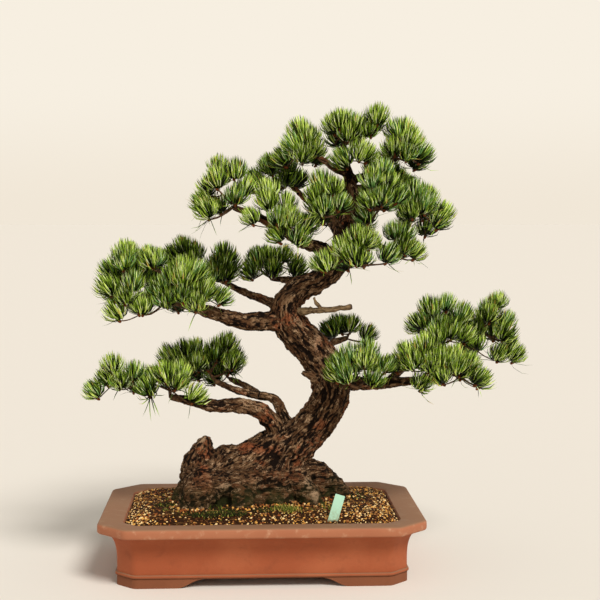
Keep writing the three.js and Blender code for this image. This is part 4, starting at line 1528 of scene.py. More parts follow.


# The burl, the hollows painted black as shade, the pale places and the rusty places of the foot and the
# trunk
SCARS: list[Scar] = [
    Scar((-88, -44, 131), (18, 22, 24), lift=4.5, rings=2.0, warm=0.35),
    Scar((-57, -50, 102), (17, 20, 10), lift=-6.5, dark=1.0),
    Scar((-104, -50, 104), (12, 20, 7), lift=-3.0, dark=0.8),
    Scar((70, -40, 128), (8, 18, 11), lift=0.8, bare=0.9),
    Scar((77, -46, 108), (7, 18, 11), lift=0.6, bare=0.9),
    Scar((-54, -48, 126), (11, 18, 5), lift=0.8, bare=0.9),
    Scar((-90, 2, 187), (9, 12, 7), bare=0.8),
    Scar((-82, -38, 161), (10, 16, 4), bare=0.7),
    Scar((-28, -22, 179), (19, 18, 7), warm=1.0),
    Scar((-84, -40, 151), (8, 18, 9), warm=0.9),
    Scar((4, -30, 176), (30, 22, 8), warm=0.6),
    Scar((84, -26, 336), (7, 16, 20), lift=0.6, warm=0.55, bare=0.55),
    Scar((106, -26, 300), (16, 18, 14), warm=0.6),
    Scar((86, -26, 212), (12, 18, 9), warm=0.6),
]


# Short snags on the trunk, each a limb of its own
SNAGS: list[Route] = [
    [[86, -6, 274, 7.5], [68, -12, 284, 5], [60, -14, 288, 3]],
    [[126, 0, 470, 6], [140, -10, 480, 3], [147, -14, 484, 2]],
]


@dataclass
class Bark:
    """The trunk and boughs as one body, with flakes and cracks along each limb.

    The sides are those of the tubes of the trunk, the boughs, the flare and the snags.
    """

    sides: tuple[int, int, int, int] = (24, 14, 18, 10)
    voxel: float = 1.82
    fine_step: float = 6.0
    cell_across: float = 6.5
    cell_along: float = 17.0
    cut: float = 93.2
    foot: tuple[float, float] = (118, 176)
    softening: int = 4
    pull: float = 0.8
    relief_share: float = 0.085
    relief_least: float = 0.45
    relief_most: float = 2.9
    knobs: float = 0.15
    chunk: int = 6000
    lines: list[tuple[np.ndarray, np.ndarray]] = field(default_factory=list)

    def build(self) -> bpy.types.Object:
        """Makes the piece.

        Returns:
            The bark, in place of the trunk and the boughs.
        """
        shell = Shell()
        groups = zip(self.sides, ([TRUNK], BOUGHS.values(), FLARE.values(), SNAGS))
        for sides, route in [(sides, route) for sides, routes in groups for route in routes]:
            points, radii = trace(route, self.fine_step)
            self.lines.append((points, radii))
            shell.add(*tube(points, radii, sides))
        shell.add(*self._mound())
        piece = self._remeshed(shell.piece("bark_form", []))
        self._cut(piece)
        self._carve(piece)
        piece.data.materials.append(BarkFinish().material())
        return piece

    def _mound(self) -> tuple[np.ndarray, np.ndarray]:
        """The rounded heap of old wood at the foot, as a closed ellipsoid.

        Returns:
            Its points and faces.
        """
        share = np.linspace(0, 1, 25)
        line = np.array(MOUND_CENTRE) + np.outer(-np.cos(np.pi * share) * MOUND_HALF[2], UP)
        body, faces = tube(line, np.maximum(np.sin(np.pi * share), 0.02), 32)
        centre = np.array(MOUND_CENTRE, float)
        spread = body - centre
        spread[:, 0] *= MOUND_HALF[0]
        spread[:, 1] *= MOUND_HALF[1]
        return centre + spread, faces

    def _remeshed(self, rough: bpy.types.Object) -> bpy.types.Object:
        """One even skin round the overlapping limbs.

        Args:
            rough: The limbs, which it removes.

        Returns:
            The skin.
        """
        modifier = rough.modifiers.new("skin", "REMESH")
        modifier.mode = "VOXEL"
        modifier.voxel_size = self.voxel * MM
        smooth = rough.modifiers.new("soften", "SMOOTH")
        smooth.iterations = self.softening
        shape = rough.evaluated_get(bpy.context.evaluated_depsgraph_get())
        mesh = bpy.data.meshes.new_from_object(shape)
        bpy.data.objects.remove(rough)
        piece = bpy.data.objects.new("bark", mesh)
        bpy.context.scene.collection.objects.link(piece)
        return piece

    def _cut(self, piece: bpy.types.Object) -> None:
        """Cuts the foot flat, just under the top of the soil.

        Args:
            piece: The bark.
        """
        work = bmesh.new()
        work.from_mesh(piece.data)
        geometry = work.verts[:] + work.edges[:] + work.faces[:]
        bmesh.ops.bisect_plane(work, geom=geometry, plane_co=(0, 0, self.cut * MM),
                               plane_no=(0, 0, 1), clear_inner=True)
        bmesh.ops.holes_fill(work, edges=[edge for edge in work.edges if edge.is_boundary])
        bmesh.ops.triangulate(work, faces=[face for face in work.faces if len(face.verts) > 4])
        work.to_mesh(piece.data)
        work.free()

    def _along(self, points: np.ndarray) -> tuple[np.ndarray, np.ndarray]:
        """Places points across and along their nearest limbs.

        Args:
            points: The points.

        Returns:
            The places, and the radius of each point's limb.
        """
        limbs = []
        for number, (line, radii) in enumerate(self.lines):
            steps = np.linalg.norm(np.diff(line, axis=0), axis=1)
            run = np.concatenate([[0], np.cumsum(steps)]) + 1000 * number
            limbs.append([line, radii, *carried_frames(line), run])
        heart, size, tangent, across, third, run = (np.concatenate(part) for part in zip(*limbs))
        place = np.zeros((len(points), 3))
        radius = np.zeros(len(points))
        for start in range(0, len(points), self.chunk):
            part = points[start:start + self.chunk]
            distance = np.linalg.norm(part[:, None] - heart[None], axis=2) - self.pull * size
            chosen = distance.argmin(axis=1)
            offset = part - heart[chosen]
            ahead = (offset * tangent[chosen]).sum(1)
            place[start:start + self.chunk] = np.stack([
                (offset * across[chosen]).sum(1), (offset * third[chosen]).sum(1),
                run[chosen] + ahead], axis=1)
            radius[start:start + self.chunk] = size[chosen]
        return place, radius

    def _carve(self, piece: bpy.types.Object) -> None:
        """Moves the skin in and out, and stores what the finish reads.

        Args:
            piece: The bark.
        """
        mesh = piece.data
        count = len(mesh.vertices)
        points = np.zeros(count * 3)
        mesh.vertices.foreach_get("co", points)
        points = points.reshape(-1, 3) / MM - pot_origin()
        normals = np.zeros(count * 3)
        mesh.vertices.foreach_get("normal", normals)
        normals = normals.reshape(-1, 3)
        place, radius = self._along(points)
        low = 1 - smoothstep(*self.foot, points[:, 2])
        warp = np.stack([soft_noise(points / 11, 40 + k, 3) for k in range(3)], axis=1)
        cells = place / [self.cell_across, self.cell_across, self.cell_along] + 0.8 * warp
        inside, lot = plates(cells, 3)
        small_inside, small_lot = plates(cells * [1.9, 1.9, 1.5] + 5.0, 9)
        grooves = 1 - np.abs(soft_noise(place / [4.6, 4.6, 26] + 0.5 * warp, 52, 2))
        strata = 1 - np.abs(soft_noise(points / [48, 30, 7] + 0.7 * warp, 57, 2))
        grain = grooves + (strata - grooves) * low
        fade = smoothstep(-0.5, 0.4, soft_noise(points / 15, 77, 2))
        flake = smoothstep(0.0, 0.28, inside) * (0.35 + 0.65 * fade)
        small = smoothstep(0.0, 0.3, small_inside)
        depth = np.clip(self.relief_share * radius, self.relief_least, self.relief_most)
        lumps = soft_noise(points / 24, 71, 3) * (0.5 + 1.6 * low)
        move = depth * (0.5 * flake * (0.3 + 0.9 * lot) + 1.3 * grain - 1.15
                        + 0.3 * small * (0.3 + 0.9 * small_lot) + lumps)
        move = move + 0.55 * soft_noise(points / 2.8, 88, 2)
        move = move + np.minimum(self.knobs * radius, 1.7) * soft_noise(points / 8.5, 91, 2)
        bare, warm, dark = (np.zeros(count) for _ in range(3))
        for scar in SCARS:
            off = (points - scar.at) / scar.half
            reach = np.exp(-(off * off).sum(1))
            ring = np.cos(np.linalg.norm(off, axis=1) * scar.ring_step + 2 * warp[:, 0])
            move = move + reach * (scar.lift + scar.rings * ring)
            bare = np.maximum(bare, scar.bare * smoothstep(0.25, 0.7, reach + 0.2 * warp[:, 1]))
            warm = np.maximum(warm, scar.warm * smoothstep(0.25, 0.7, reach + 0.2 * warp[:, 2]))
            dark = np.maximum(dark, scar.dark * smoothstep(0.2, 0.7, reach))
        keep = smoothstep(self.cut + 0.2, self.cut + 4, points[:, 2])
        points = points + normals * (move * keep)[:, None]
        mesh.vertices.foreach_set("co", ((points + pot_origin()) * MM).astype(np.float32).ravel())
        rusty = smoothstep(0.15, 0.7, soft_noise(points / 30 + 3.0, 23, 2) + 0.3 * (small_lot - 0.5))
        rusty = 0.85 * rusty * smoothstep(0.45, 0.7, small_lot) * (1 - 0.6 * low)
        relief = (0.5 + 0.5 * flake) * (0.6 + 0.4 * small) * smoothstep(0.3, 0.85, grain)
        # Painted shade: where a hollow is dark, its relief falls away and the finish paints it black
        self._store(mesh, "relief", relief * (1 - dark))
        self._store(mesh, "warm", np.maximum(rusty, warm))
        self._store(mesh, "bare", bare * (1 - dark))
        run = mesh.attributes.new("run", "FLOAT_VECTOR", "POINT")
        level = points[:, [2, 1, 0]] * [1.6, 1.0, 0.7]
        spots = np.where(low[:, None] > 0.5, level, place) * MM
        run.data.foreach_set("vector", spots.astype(np.float32).ravel())
        mesh.polygons.foreach_set("use_smooth", np.full(len(mesh.polygons), True))
        mesh.update()

    def _store(self, mesh: bpy.types.Mesh, name: str, values: np.ndarray) -> None:
        """Stores a number at each point of a mesh."""
        layer = mesh.attributes.new(name, "FLOAT", "POINT")
        layer.data.foreach_set("value", values.astype(np.float32))


@dataclass
class Jin:
    """The stripped dead branch with its forked stub."""

    sides: int = 12
    step: float = 3.0

    def build(self) -> bpy.types.Object:
        """Makes the piece.

        Returns:
            The dead branch.
        """
        shell = Shell()
        for route in (JIN, JIN_FORK):
            points, radii = trace(route, self.step)
            body, faces = tube(points, radii, self.sides)
            heart = np.concatenate([np.repeat(points, self.sides, axis=0), points[:1], points[-1:]])
            out = body - heart
            swell = 1 + 0.3 * soft_noise(body / 6, 31, 3) + 0.16 * soft_noise(body / [14, 2, 2], 37, 2)
            shell.add(heart + out * swell[:, None], faces)
        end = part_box("jin")[1].x
        finish = WoodFinish("deadwood", tint(158, 132, 98), tint(58, 40, 25), 420, 5.0, end).material()
        return shell.piece("dead_branch", [finish])


# Pot, soil and label


@dataclass
class Pot:
    """A chamfered tray with a rounded rim band, a moulded foot line and four bracket feet."""

    width: float = 464
    depth: float = 312
    height: float = 89
    corner: float = 41
    rounding: float = 6
    rim_band: float = 14.2
    rim_width: float = 36
    wall_top: float = 13
    wall_foot: float = 26.5
    wall_curve: float = 5
    foot_height: float = 13
    foot_inset: float = 26
    foot_thickness: float = 26
    front_gap: float = 171
    side_gap: float = 118
    sweep: float = 35
    sweep_steps: int = 12
    turn_x: float = 100
    turn_y: float = 60
    soil_edge: float = 84

    def outline(self, inset: float, z: float, detail: int = 5) -> np.ndarray:
        """The outline at a height, drawn in by an inset, with eight rounded corners.

        Args:
            inset: How far it is drawn in.
            z: The height.
            detail: Points at each corner.

        Returns:
            The points, the same number for any inset.
        """
        x = self.width / 2 - inset
        y = self.depth / 2 - inset
        cut = max(12.0, self.corner - inset * (2 - math.sqrt(2)))
        corners = np.array([[x, -y + cut], [x, y - cut], [x - cut, y], [-x + cut, y],
                            [-x, y - cut], [-x, -y + cut], [-x + cut, -y], [x - cut, -y]])
        points = []
        for i, corner in enumerate(corners):
            before = corner + unit(corners[i - 1] - corner) * self.rounding
            after = corner + unit(corners[(i + 1) % 8] - corner) * self.rounding
            for t in np.linspace(0, 1, detail):
                points.append((1 - t) ** 2 * before + 2 * t * (1 - t) * corner + t**2 * after)
        flat = np.array(points)
        return np.column_stack([flat, np.full(len(flat), z)])

    def wall_inset(self, z: float) -> float:
        """How far the wall is drawn in at a height."""
        rise = (z - self.foot_height) / (self.height - self.rim_band - self.foot_height)
        return self.wall_foot - (self.wall_foot - self.wall_top) * rise ** self.wall_curve

    def profile(self) -> list[tuple[float, float]]:
        """The pot's section, up the outside and down the inside.

        Returns:
            Its corners as insets and heights.
        """
        wall, foot, rim, top = self.wall_foot, self.foot_height, self.rim_width, self.height
        band_foot = top - self.rim_band
        lip = foot + 5
        section = [(wall + self.foot_thickness, foot + 0.2), (wall, foot), (wall - 0.2, foot + 1),
                   (wall - 2.2, foot + 1.7), (wall - 2.6, foot + 2.6), (wall - 2.5, lip - 0.8),
                   (wall - 2.1, lip), (self.wall_inset(lip + 1) + 0.3, lip + 0.9)]
        for level in np.linspace(0, 1, 18) ** 0.6:
            z = lip + 2.5 + (band_foot - 0.6 - lip - 2.5) * float(level)
            section.append((self.wall_inset(z), z))
        section.append((self.wall_top, band_foot))
        section += [(1.6, band_foot + 0.4), (0.5, band_foot + 1.4), (0.0, band_foot + 3),
                    (0.0, top - 4.2), (0.35, top - 2.4), (1.3, top - 0.9), (2.6, top - 0.2),
                    (4.4, top), (rim - 2.5, top - 1.7), (rim - 0.9, top - 2.2),
                    (rim - 0.3, top - 3.4), (rim + 2.0, self.soil_edge - 4), (41.0, 24.0)]
        return section

    def build(self) -> list[bpy.types.Object]:
        """Makes the pot's body and its feet.

        Returns:
            The body, then the feet.
        """
        finish = ClayFinish().material()
        shell = Shell()
        shell.add(*self._loft([self.outline(inset, z) for inset, z in self.profile()]))
        body = shell.piece("pot_body", [finish])
        self._crisp(body)
        made = [seat(body, ["pot"])]
        for name, signs in {"front_left": (-1, -1), "front_right": (1, -1),
                            "back_left": (-1, 1), "back_right": (1, 1)}.items():
            foot = self._foot(*signs).piece(f"bracket_{name}", [finish])
            self._crisp(foot)
            made.append(seat(foot, [f"foot_{name}"]))
        return made

    def _loft(self, rings: list[np.ndarray]) -> tuple[np.ndarray, np.ndarray]:
        """A closed body through rings of equal length.

        Args:
            rings: The rings' points.

        Returns:
            The body's points and faces.
        """
        count = len(rings[0])
        points = np.concatenate(rings + [rings[0].mean(0)[None], rings[-1].mean(0)[None]])
        faces = []
        for level in range(len(rings) - 1):
            for i in range(count):
                low = level * count + i
                low_next = level * count + (i + 1) % count
                faces.append([low, low_next, low_next + count, low + count])
        last = (len(rings) - 1) * count
        caps = []
        for i in range(count):
            caps.append([len(points) - 2, (i + 1) % count, i])
            caps.append([len(points) - 1, last + i, last + (i + 1) % count])
        body = np.array(faces)
        return points, np.concatenate([body[:, [0, 1, 2]], body[:, [0, 2, 3]], np.array(caps)])

    def _foot(self, side: int, face: int) -> Shell:
        """One foot: a low band round a corner whose ends sweep up to the gaps.

        Args:
            side: Left is -1 and right is 1.
            face: The front is -1 and the back is 1.

        Returns:
            The foot.
        """
        outer = self.outline(self.foot_inset, 0.0, 9)[:, :2]
        inner = self.outline(self.foot_inset + self.foot_thickness, 0.0, 9)[:, :2]
        front = self.front_gap / 2
        flank = self.side_gap / 2
        steps = self.sweep_steps
        ends = []
        for edge in (outer, inner):
            corner = [p for p in edge if p[0] * side > 0 and p[1] * face > 0]
            corner.sort(key=lambda p: math.atan2(abs(p[1]) - self.turn_y, abs(p[0]) - self.turn_x))
            y_face = abs(corner[-1][1]) * face
            x_flank = abs(corner[0][0]) * side
            lead = [np.array([x_flank, face * (flank + self.sweep * (1 - t))])
                    for t in np.linspace(1, 0, steps)]
            tail = [np.array([side * (front + self.sweep * t), y_face])
                    for t in np.linspace(1, 0, steps)]
            ends.append(np.array(lead + corner + tail))
        rise = np.concatenate([smoothstep(0, 1, np.linspace(1, 0, steps)),
                               np.zeros(len(ends[0]) - 2 * steps),
                               smoothstep(0, 1, np.linspace(0, 1, steps))])
        bottom = rise * (self.foot_height - 0.8)
        top = np.full(len(bottom), self.foot_height - 0.05)
        outside, inside = ends
        rings = [(outside, bottom), (outside, top), (inside, top), (inside, bottom)]
        points = np.concatenate([np.column_stack(ring) for ring in rings])
        count = len(bottom)
        faces = []
        for ring in range(4):
            for i in range(count - 1):
                a = ring * count + i
                b = ((ring + 1) % 4) * count + i
                faces.append([a, a + 1, b + 1, b])
        faces.append([0, count, 2 * count, 3 * count])
        faces.append([4 * count - 1, 3 * count - 1, 2 * count - 1, count - 1])
        shell = Shell()
        shell.add(points, np.array(faces))
        return shell

    def _crisp(self, piece: bpy.types.Object) -> None:
        """Makes faces point out, and keeps edges sharp where the form turns quickly.

        Args:
            piece: The pot's body or a foot.
        """
        work = bmesh.new()
        work.from_mesh(piece.data)
        bmesh.ops.remove_doubles(work, verts=work.verts, dist=0.01 * MM)
        bmesh.ops.recalc_face_normals(work, faces=work.faces)
        for edge in work.edges:
            edge.smooth = edge.calc_face_angle(0) < math.radians(35)
        work.to_mesh(piece.data)
        work.free()


class Grain(Enum):
    """The plain colours of the gravel, in the order of their slots."""

    CREAM = tint(244, 208, 146)
    GOLD = tint(218, 160, 78)
    TAN = tint(164, 112, 62)
    RUST = tint(138, 76, 34)
    BROWN = tint(84, 48, 20)
    DARK = tint(38, 20, 8)


class Moss(Enum):
    """The plain colours of the moss, in the order of their slots."""

    DARK = tint(40, 42, 18)
    GREEN = tint(92, 104, 34)
    STRAW = tint(168, 158, 78)


@dataclass
class Gravel:
    """The grains that cover the soil, moss round the foot, and fallen needles."""

    pitch: float = 3.35
    row: float = 0.87
    jitter: float = 0.42
    rim_gap: float = 1.2
    size: tuple[float, float] = (1.45, 2.6)
    edge: float = 37.6
    corner: float = 19.0
    light_shares: tuple[float, ...] = (0.24, 0.29, 0.18, 0.10, 0.10, 0.09)
    dark_shares: tuple[float, ...] = (0.03, 0.06, 0.12, 0.13, 0.27, 0.39)
    heap: tuple[tuple[float, float], ...] = ((0.0, 84.0), (17.0, 90.9), (34.0, 95.0))
    sunk: float = 1.4
    banked: float = 4.5
    # Painted shade: from the second x leftward to the first, grains are dealt dark more and more often
    shaded_side: tuple[float, float] = (-150.0, -60.0)
    # A painted shadow in front of the foot's left, where grains are dealt dark: its middle, half-length and
    # half-depth
    painted_shadow: tuple[float, float, float, float] = (-78.0, -72.0, 58.0, 26.0)
    moss_tufts: int = 2600
    sprouts: tuple[tuple[float, float, float, int], ...] = (
        (30.0, -62.0, 9.0, 150), (44.0, -70.0, 7.0, 90), (-96.0, -62.0, 10.0, 60), (92.0, -52.0, 8.0, 50))
    cushions: tuple[tuple[float, float, float, int], ...] = (
        (-112.0, -62.0, 12.0, 560), (-90.0, -82.0, 10.0, 440), (-62.0, -80.0, 11.0, 520),
        (-34.0, -84.0, 8.0, 300), (-132.0, -28.0, 9.0, 260), (2.0, -70.0, 8.0, 180))
    fallen: int = 170
    seed: int = 5

    def build(self, pot: Pot, bark: bpy.types.Object) -> list[bpy.types.Object]:
        """Makes the pieces.

        Args:
            pot: The pot whose soil this covers.
            bark: The trunk, which grains keep clear of.

        Returns:
            The gravel, the moss and the fallen needles.
        """
        rng = np.random.default_rng(self.seed)
        spots = self._spots(pot, rng)
        tree = BVHTree.FromObject(bark, bpy.context.evaluated_depsgraph_get())
        clear = self._clearance(spots, tree)
        grains = self._grains(spots[clear > 0.5], clear[clear > 0.5], rng)
        return [grains, self._moss(spots, clear, rng), self._litter(spots[clear > 4], rng)]

    def _level(self, spots: np.ndarray, pot: Pot) -> tuple[np.ndarray, np.ndarray]:
        """How high the soil is, which falls from the tree to the rim.

        Args:
            spots: Points in plan.
            pot: The pot.

        Returns:
            The soil's height at each point, and how far the rim is.
        """
        gap_x = pot.width / 2 - self.edge - np.abs(spots[:, 0])
        gap_y = pot.depth / 2 - self.edge - np.abs(spots[:, 1])
        slant = (pot.width / 2 - self.edge + pot.depth / 2 - self.edge - self.corner
                 - np.abs(spots[:, 0]) - np.abs(spots[:, 1])) / math.sqrt(2)
        gap = np.minimum(np.minimum(gap_x, gap_y), slant)
        inward, heights = zip(*self.heap)
        return np.interp(gap, inward, heights), gap

    def _spots(self, pot: Pot, rng: np.random.Generator) -> np.ndarray:
        """Spots on the soil, about a grain apart.

        Args:
            pot: The pot.
            rng: The chance of the gravel.

        Returns:
            The spots.
        """
        x = np.arange(-pot.width / 2, pot.width / 2, self.pitch)
        y = np.arange(-pot.depth / 2, pot.depth / 2, self.pitch * self.row)
        grid_x, grid_y = np.meshgrid(x, y)
        grid_x = grid_x + (np.arange(len(y))[:, None] % 2) * self.pitch / 2
        flat = np.stack([grid_x.ravel(), grid_y.ravel()], axis=1)
        flat += rng.uniform(-self.jitter, self.jitter, flat.shape) * self.pitch
        level, gap = self._level(flat, pot)
        return np.column_stack([flat, level])[gap > self.rim_gap]

    def _clearance(self, spots: np.ndarray, tree: BVHTree) -> np.ndarray:
        """How far each spot is from the bark, less than 0 under it.

        Args:
            spots: The spots.
            tree: The bark's faces.

        Returns:
            The distances.
        """
        shift = pot_origin()
        clear = np.zeros(len(spots))
        for i, spot in enumerate(spots):
            place = Vector((spot + shift) * MM)
            hit = tree.ray_cast(place + Vector((0, 0, 0.4)), Vector((0, 0, -1)), 0.4)
            under = hit[0] is not None and hit[0].z > place.z + 0.001
            distance = tree.find_nearest(place)[3] / MM
            overhang = hit[0] is not None and hit[0].z > place.z + 0.06
            clear[i] = distance if overhang or not under else -distance
        return clear

    def _grains(self, spots: np.ndarray, clear: np.ndarray, rng: np.random.Generator) -> bpy.types.Object:
        """Irregular stones, each with its own shape, turn and colour.

        Args:
            spots: Where they lie.
            clear: How far each spot is from the bark.
            rng: The chance of the gravel.

        Returns:
            The gravel.
        """
        golden = (1 + math.sqrt(5)) / 2
        corners = unit(np.array([[-1, golden, 0], [1, golden, 0], [-1, -golden, 0], [1, -golden, 0],
                                 [0, -1, golden], [0, 1, golden], [0, -1, -golden], [0, 1, -golden],
                                 [golden, 0, -1], [golden, 0, 1], [-golden, 0, -1], [-golden, 0, 1]]))
        faces = np.array([[0, 11, 5], [0, 5, 1], [0, 1, 7], [0, 7, 10], [0, 10, 11], [1, 5, 9],
                          [5, 11, 4], [11, 10, 2], [10, 7, 6], [7, 1, 8], [3, 9, 4], [3, 4, 2],
                          [3, 2, 6], [3, 6, 8], [3, 8, 9], [4, 9, 5], [2, 4, 11], [6, 2, 10],
                          [8, 6, 7], [9, 8, 1]])
        count = len(spots)
        radius = rng.uniform(*self.size, count) * rng.choice([0.8, 1.0, 1.15], count, p=[0.35, 0.5, 0.15])
        stretch = rng.uniform(0.7, 1.25, (count, 1, 3))
        shapes = corners[None] * rng.uniform(0.74, 1.12, (count, 12, 1)) * stretch
        turn = unit(rng.normal(0, 1, (count, 4)))
        w, x, y, z = turn.T
        matrix = np.stack([
            np.stack([1 - 2 * (y * y + z * z), 2 * (x * y - z * w), 2 * (x * z + y * w)], axis=1),
            np.stack([2 * (x * y + z * w), 1 - 2 * (x * x + z * z), 2 * (y * z - x * w)], axis=1),
            np.stack([2 * (x * z - y * w), 2 * (y * z + x * w), 1 - 2 * (x * x + y * y)], axis=1)], axis=1)
        shapes = np.einsum("nij,nkj->nki", matrix, shapes) * radius[:, None, None]
        rise = rng.uniform(-0.6, 0.7, count) - self.sunk + self.banked * (1 - smoothstep(0, 13, clear))
        points = (shapes + (spots + np.column_stack([np.zeros((count, 2)), rise]))[:, None]).reshape(-1, 3)
        # Painted shade towards the left side, where grains are dealt dark more often
        left = 1 - smoothstep(*self.shaded_side, spots[:, 0])
        # Grains in the painted shadow in front of the foot are dealt dark more often
        shadow_x, shadow_y, shadow_long, shadow_deep = self.painted_shadow
        painted_shadow = np.exp(-((spots[:, 0] - shadow_x) / shadow_long)**2 - ((spots[:, 1] - shadow_y) / shadow_deep)**2)
        dark = np.clip(1.1 - clear / 46 + 0.4 * left + 0.8 * painted_shadow, 0, 0.95) * rng.uniform(0.5, 1.15, count)
        light_pick = rng.choice(len(Grain), count, p=self.light_shares)
        dark_pick = rng.choice(len(Grain), count, p=self.dark_shares)
        pick = np.where(rng.random(count) < dark, dark_pick, light_pick)
        shell = Shell()
        numbers = (faces[None] + 12 * np.arange(count)[:, None, None]).reshape(-1, 3)
        shell.add(points, numbers, np.repeat(pick, 20))
        return shell.piece("gravel", dealt_finishes(Grain, "grain", 0.9, 0.2), smooth=False)

    def _moss(self, spots: np.ndarray, clear: np.ndarray, rng: np.random.Generator) -> bpy.types.Object:
        """Short blades of moss in patches round the foot of the trunk.

        Args:
            spots: The soil's spots.
            clear: How far each spot is from the bark.
            rng: The chance of the gravel.

        Returns:
            The moss.
        """
        cover = soft_noise(spots / 17, 61, 2)
        near = spots[(clear > -2) & (clear < 34) & (cover > 0.02 * np.maximum(clear, 0))]
        base = near[rng.integers(0, len(near), self.moss_tufts)]
        base = base + np.column_stack([rng.uniform(-2, 2, (self.moss_tufts, 2)),
                                       rng.uniform(0, 1.2, self.moss_tufts)])
        tall = rng.uniform(1.6, 4.4, self.moss_tufts)
        tones = rng.choice(3, self.moss_tufts, p=[0.76, 0.2, 0.04])
        patches = [(patch, (4.0, 10.0), [0.15, 0.55, 0.3]) for patch in self.sprouts]
        patches += [(patch, (2.0, 5.5), [0.84, 0.14, 0.02]) for patch in self.cushions]
        for (x, y, spread, number), reach, shares in patches:
            at = rng.normal((x, y), spread, (number, 2))
            height = spots[np.linalg.norm(spots[:, :2] - (x, y), axis=1).argmin(), 2]
            base = np.vstack([base, np.column_stack([at, np.full(number, height - 1)])])
            tall = np.concatenate([tall, rng.uniform(*reach, number)])
            tones = np.concatenate([tones, rng.choice(3, number, p=shares)])
        count = len(base)
        axis = unit(np.column_stack([rng.normal(0, 0.45, (count, 2)), np.ones(count)]))
        across, third = perpendicular(axis)
        wide = rng.uniform(0.5, 1.1, count)[:, None]
        rings = [base + wide * (math.cos(a) * across + math.sin(a) * third)
                 for a in (0, 2 * math.pi / 3, 4 * math.pi / 3)]
        points = np.stack([*rings, base + axis * tall[:, None]], axis=1).reshape(-1, 3)
        faces = np.array([[0, 1, 3], [1, 2, 3], [2, 0, 3], [2, 1, 0]])
        numbers = (faces[None] + 4 * np.arange(count)[:, None, None]).reshape(-1, 3)
        shell = Shell()
        shell.add(points, numbers, np.repeat(tones, 4))
        return shell.piece("moss", dealt_finishes(Moss, "moss", 0.9, 0.1), smooth=False)

    def _litter(self, spots: np.ndarray, rng: np.random.Generator) -> bpy.types.Object:
        """Dry needles that have fallen on the grains.

        Args:
            spots: Where they may lie.
            rng: The chance of the gravel.

        Returns:
            The needles.
        """
        shell = Shell()
        for spot in spots[rng.integers(0, len(spots), self.fallen)]:
            angle = rng.uniform(0, math.pi)
            half = rng.uniform(5, 13)
            way = np.array([math.cos(angle), math.sin(angle), rng.normal(0, 0.06)])
            sag = np.array([0, 0, rng.uniform(0.3, 1.2)])
            middle = spot + [0, 0, 2.4]
            line = np.array([middle - way * half - sag, middle, middle + way * half - sag])
            shell.add(*tube(line, np.array([0.3, 0.42, 0.2]), 3))
        return shell.piece("fallen_needles", [WoodFinish("dry_needle", tint(178, 132, 76),
                                                         tint(110, 70, 38), 300).material()])


# Studio


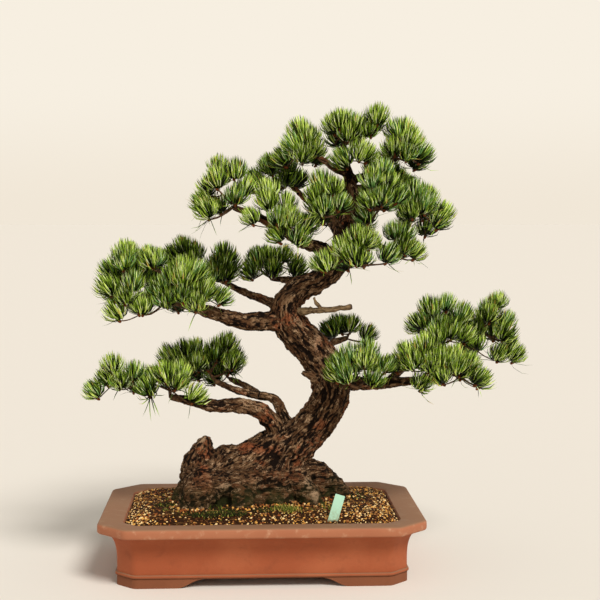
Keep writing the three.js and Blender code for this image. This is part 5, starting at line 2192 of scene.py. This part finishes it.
@dataclass
class Studio:
    """A plain pale floor, soft light, and the camera at the photograph's viewing angle."""

    camera_at: tuple[float, float, float] = (-32.8, -1921.8, 520.6)
    yaw: float = 0.047
    pitch: float = -0.066
    focal: float = 1304.8
    frame_pixels: float = 600
    sensor: float = 36.0
    floor_half: float = 60.0
    wall: Colour = tint(247, 239, 225)
    low_wall: Colour = tint(241, 231, 215)
    ceiling: Colour = tint(150, 148, 144)
    key_from: tuple[float, float, float] = (0.42, -0.8, 0.95)
    key_strength: float = 2.85
    key_softness: float = math.radians(22)

    def build(self) -> None:
        """Makes the floor, the light, the world and the camera."""
        self._floor()
        self._world()
        self._key()
        self._camera()

    def _floor(self) -> None:
        """A wide pale floor under the pot."""
        half = self.floor_half
        mesh = bpy.data.meshes.new("floor")
        mesh.from_pydata([(-half, -half, 0), (half, -half, 0), (half, half, 0), (-half, half, 0)],
                         [], [(0, 1, 2, 3)])
        floor = bpy.data.objects.new("floor", mesh)
        bpy.context.scene.collection.objects.link(floor)
        floor.data.materials.append(PlainFinish("floor", tint(232, 226, 217), 0.9, 0.0).material())

    def _world(self) -> None:
        """A warm white wall all round, a little darker at its foot, under a grey ceiling."""
        world = bpy.data.worlds.new("studio")
        graph = Graph(world, "Background")
        height = graph.part(2, graph.node("ShaderNodeTexCoord", result="Generated"))
        colour = graph.mix(height.step(0.0, 0.1), self.low_wall, self.wall)
        graph.surface(Color=graph.mix(height.step(0.3, 0.6), colour, self.ceiling))
        bpy.context.scene.world = world
        bpy.context.scene.view_settings.view_transform = "Standard"

    def _key(self) -> None:
        """One large soft light from the front, above and to the right."""
        data = bpy.data.lights.new("key", "SUN")
        data.energy = self.key_strength
        data.angle = self.key_softness
        data.color = (1.0, 0.975, 0.935)
        light = bpy.data.objects.new("key", data)
        light.rotation_euler = Vector(self.key_from).to_track_quat("Z", "Y").to_euler()
        bpy.context.scene.collection.objects.link(light)

    def _camera(self) -> None:
        """The camera that was fitted to the pot's corners."""
        data = bpy.data.cameras.new("view")
        data.sensor_width = self.sensor
        data.lens = self.sensor * self.focal / self.frame_pixels
        camera = bpy.data.objects.new("view", data)
        camera.location = Vector((np.array(self.camera_at) + pot_origin()) * MM)
        camera.rotation_euler = (math.pi / 2 + self.pitch, 0.0, -self.yaw)
        bpy.context.scene.collection.objects.link(camera)
        bpy.context.scene.camera = camera


def main() -> None:
    """Builds the tree, its pot and the studio."""
    logging.basicConfig(level=logging.INFO, format="%(message)s")
    Studio().build()
    pot = Pot()
    pot.build()
    for node, finish in {"soil": SoilFinish(), "label": LabelFinish()}.items():
        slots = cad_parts[node].data.materials
        slots.clear()
        slots.append(finish.material())
    bark = seat(Bark().build(), ["trunk"] + [f"bough_{name}" for name in BOUGHS])
    seat(Jin().build(), ["jin"])
    gravel, moss, litter = Gravel().build(pot, bark)
    seat(gravel)
    seat(moss)
    seat(litter)
    rule = GrowthRule()
    skeleton = Skeleton()
    masses = [Mass(name, number + 1, skeleton, rule) for number, name in enumerate(MASSES)]
    for mass in masses:
        LOG.info("foliage_%s: %d tufts", mass.name, len(mass.twigs))
    twigs, scales = Twigs().build(masses)
    seat(twigs)
    seat(scales)
    tufts = [twig.tuft for mass in masses for twig in mass.twigs]
    pieces = Needles().build(tufts, rule)
    seat(pieces[0], [f"foliage_{name}" for name in MASSES])
    for piece in pieces[1:]:
        seat(piece)
    LOG.info("tufts in all: %d", len(tufts))


if __name__ == "__main__":
    main()
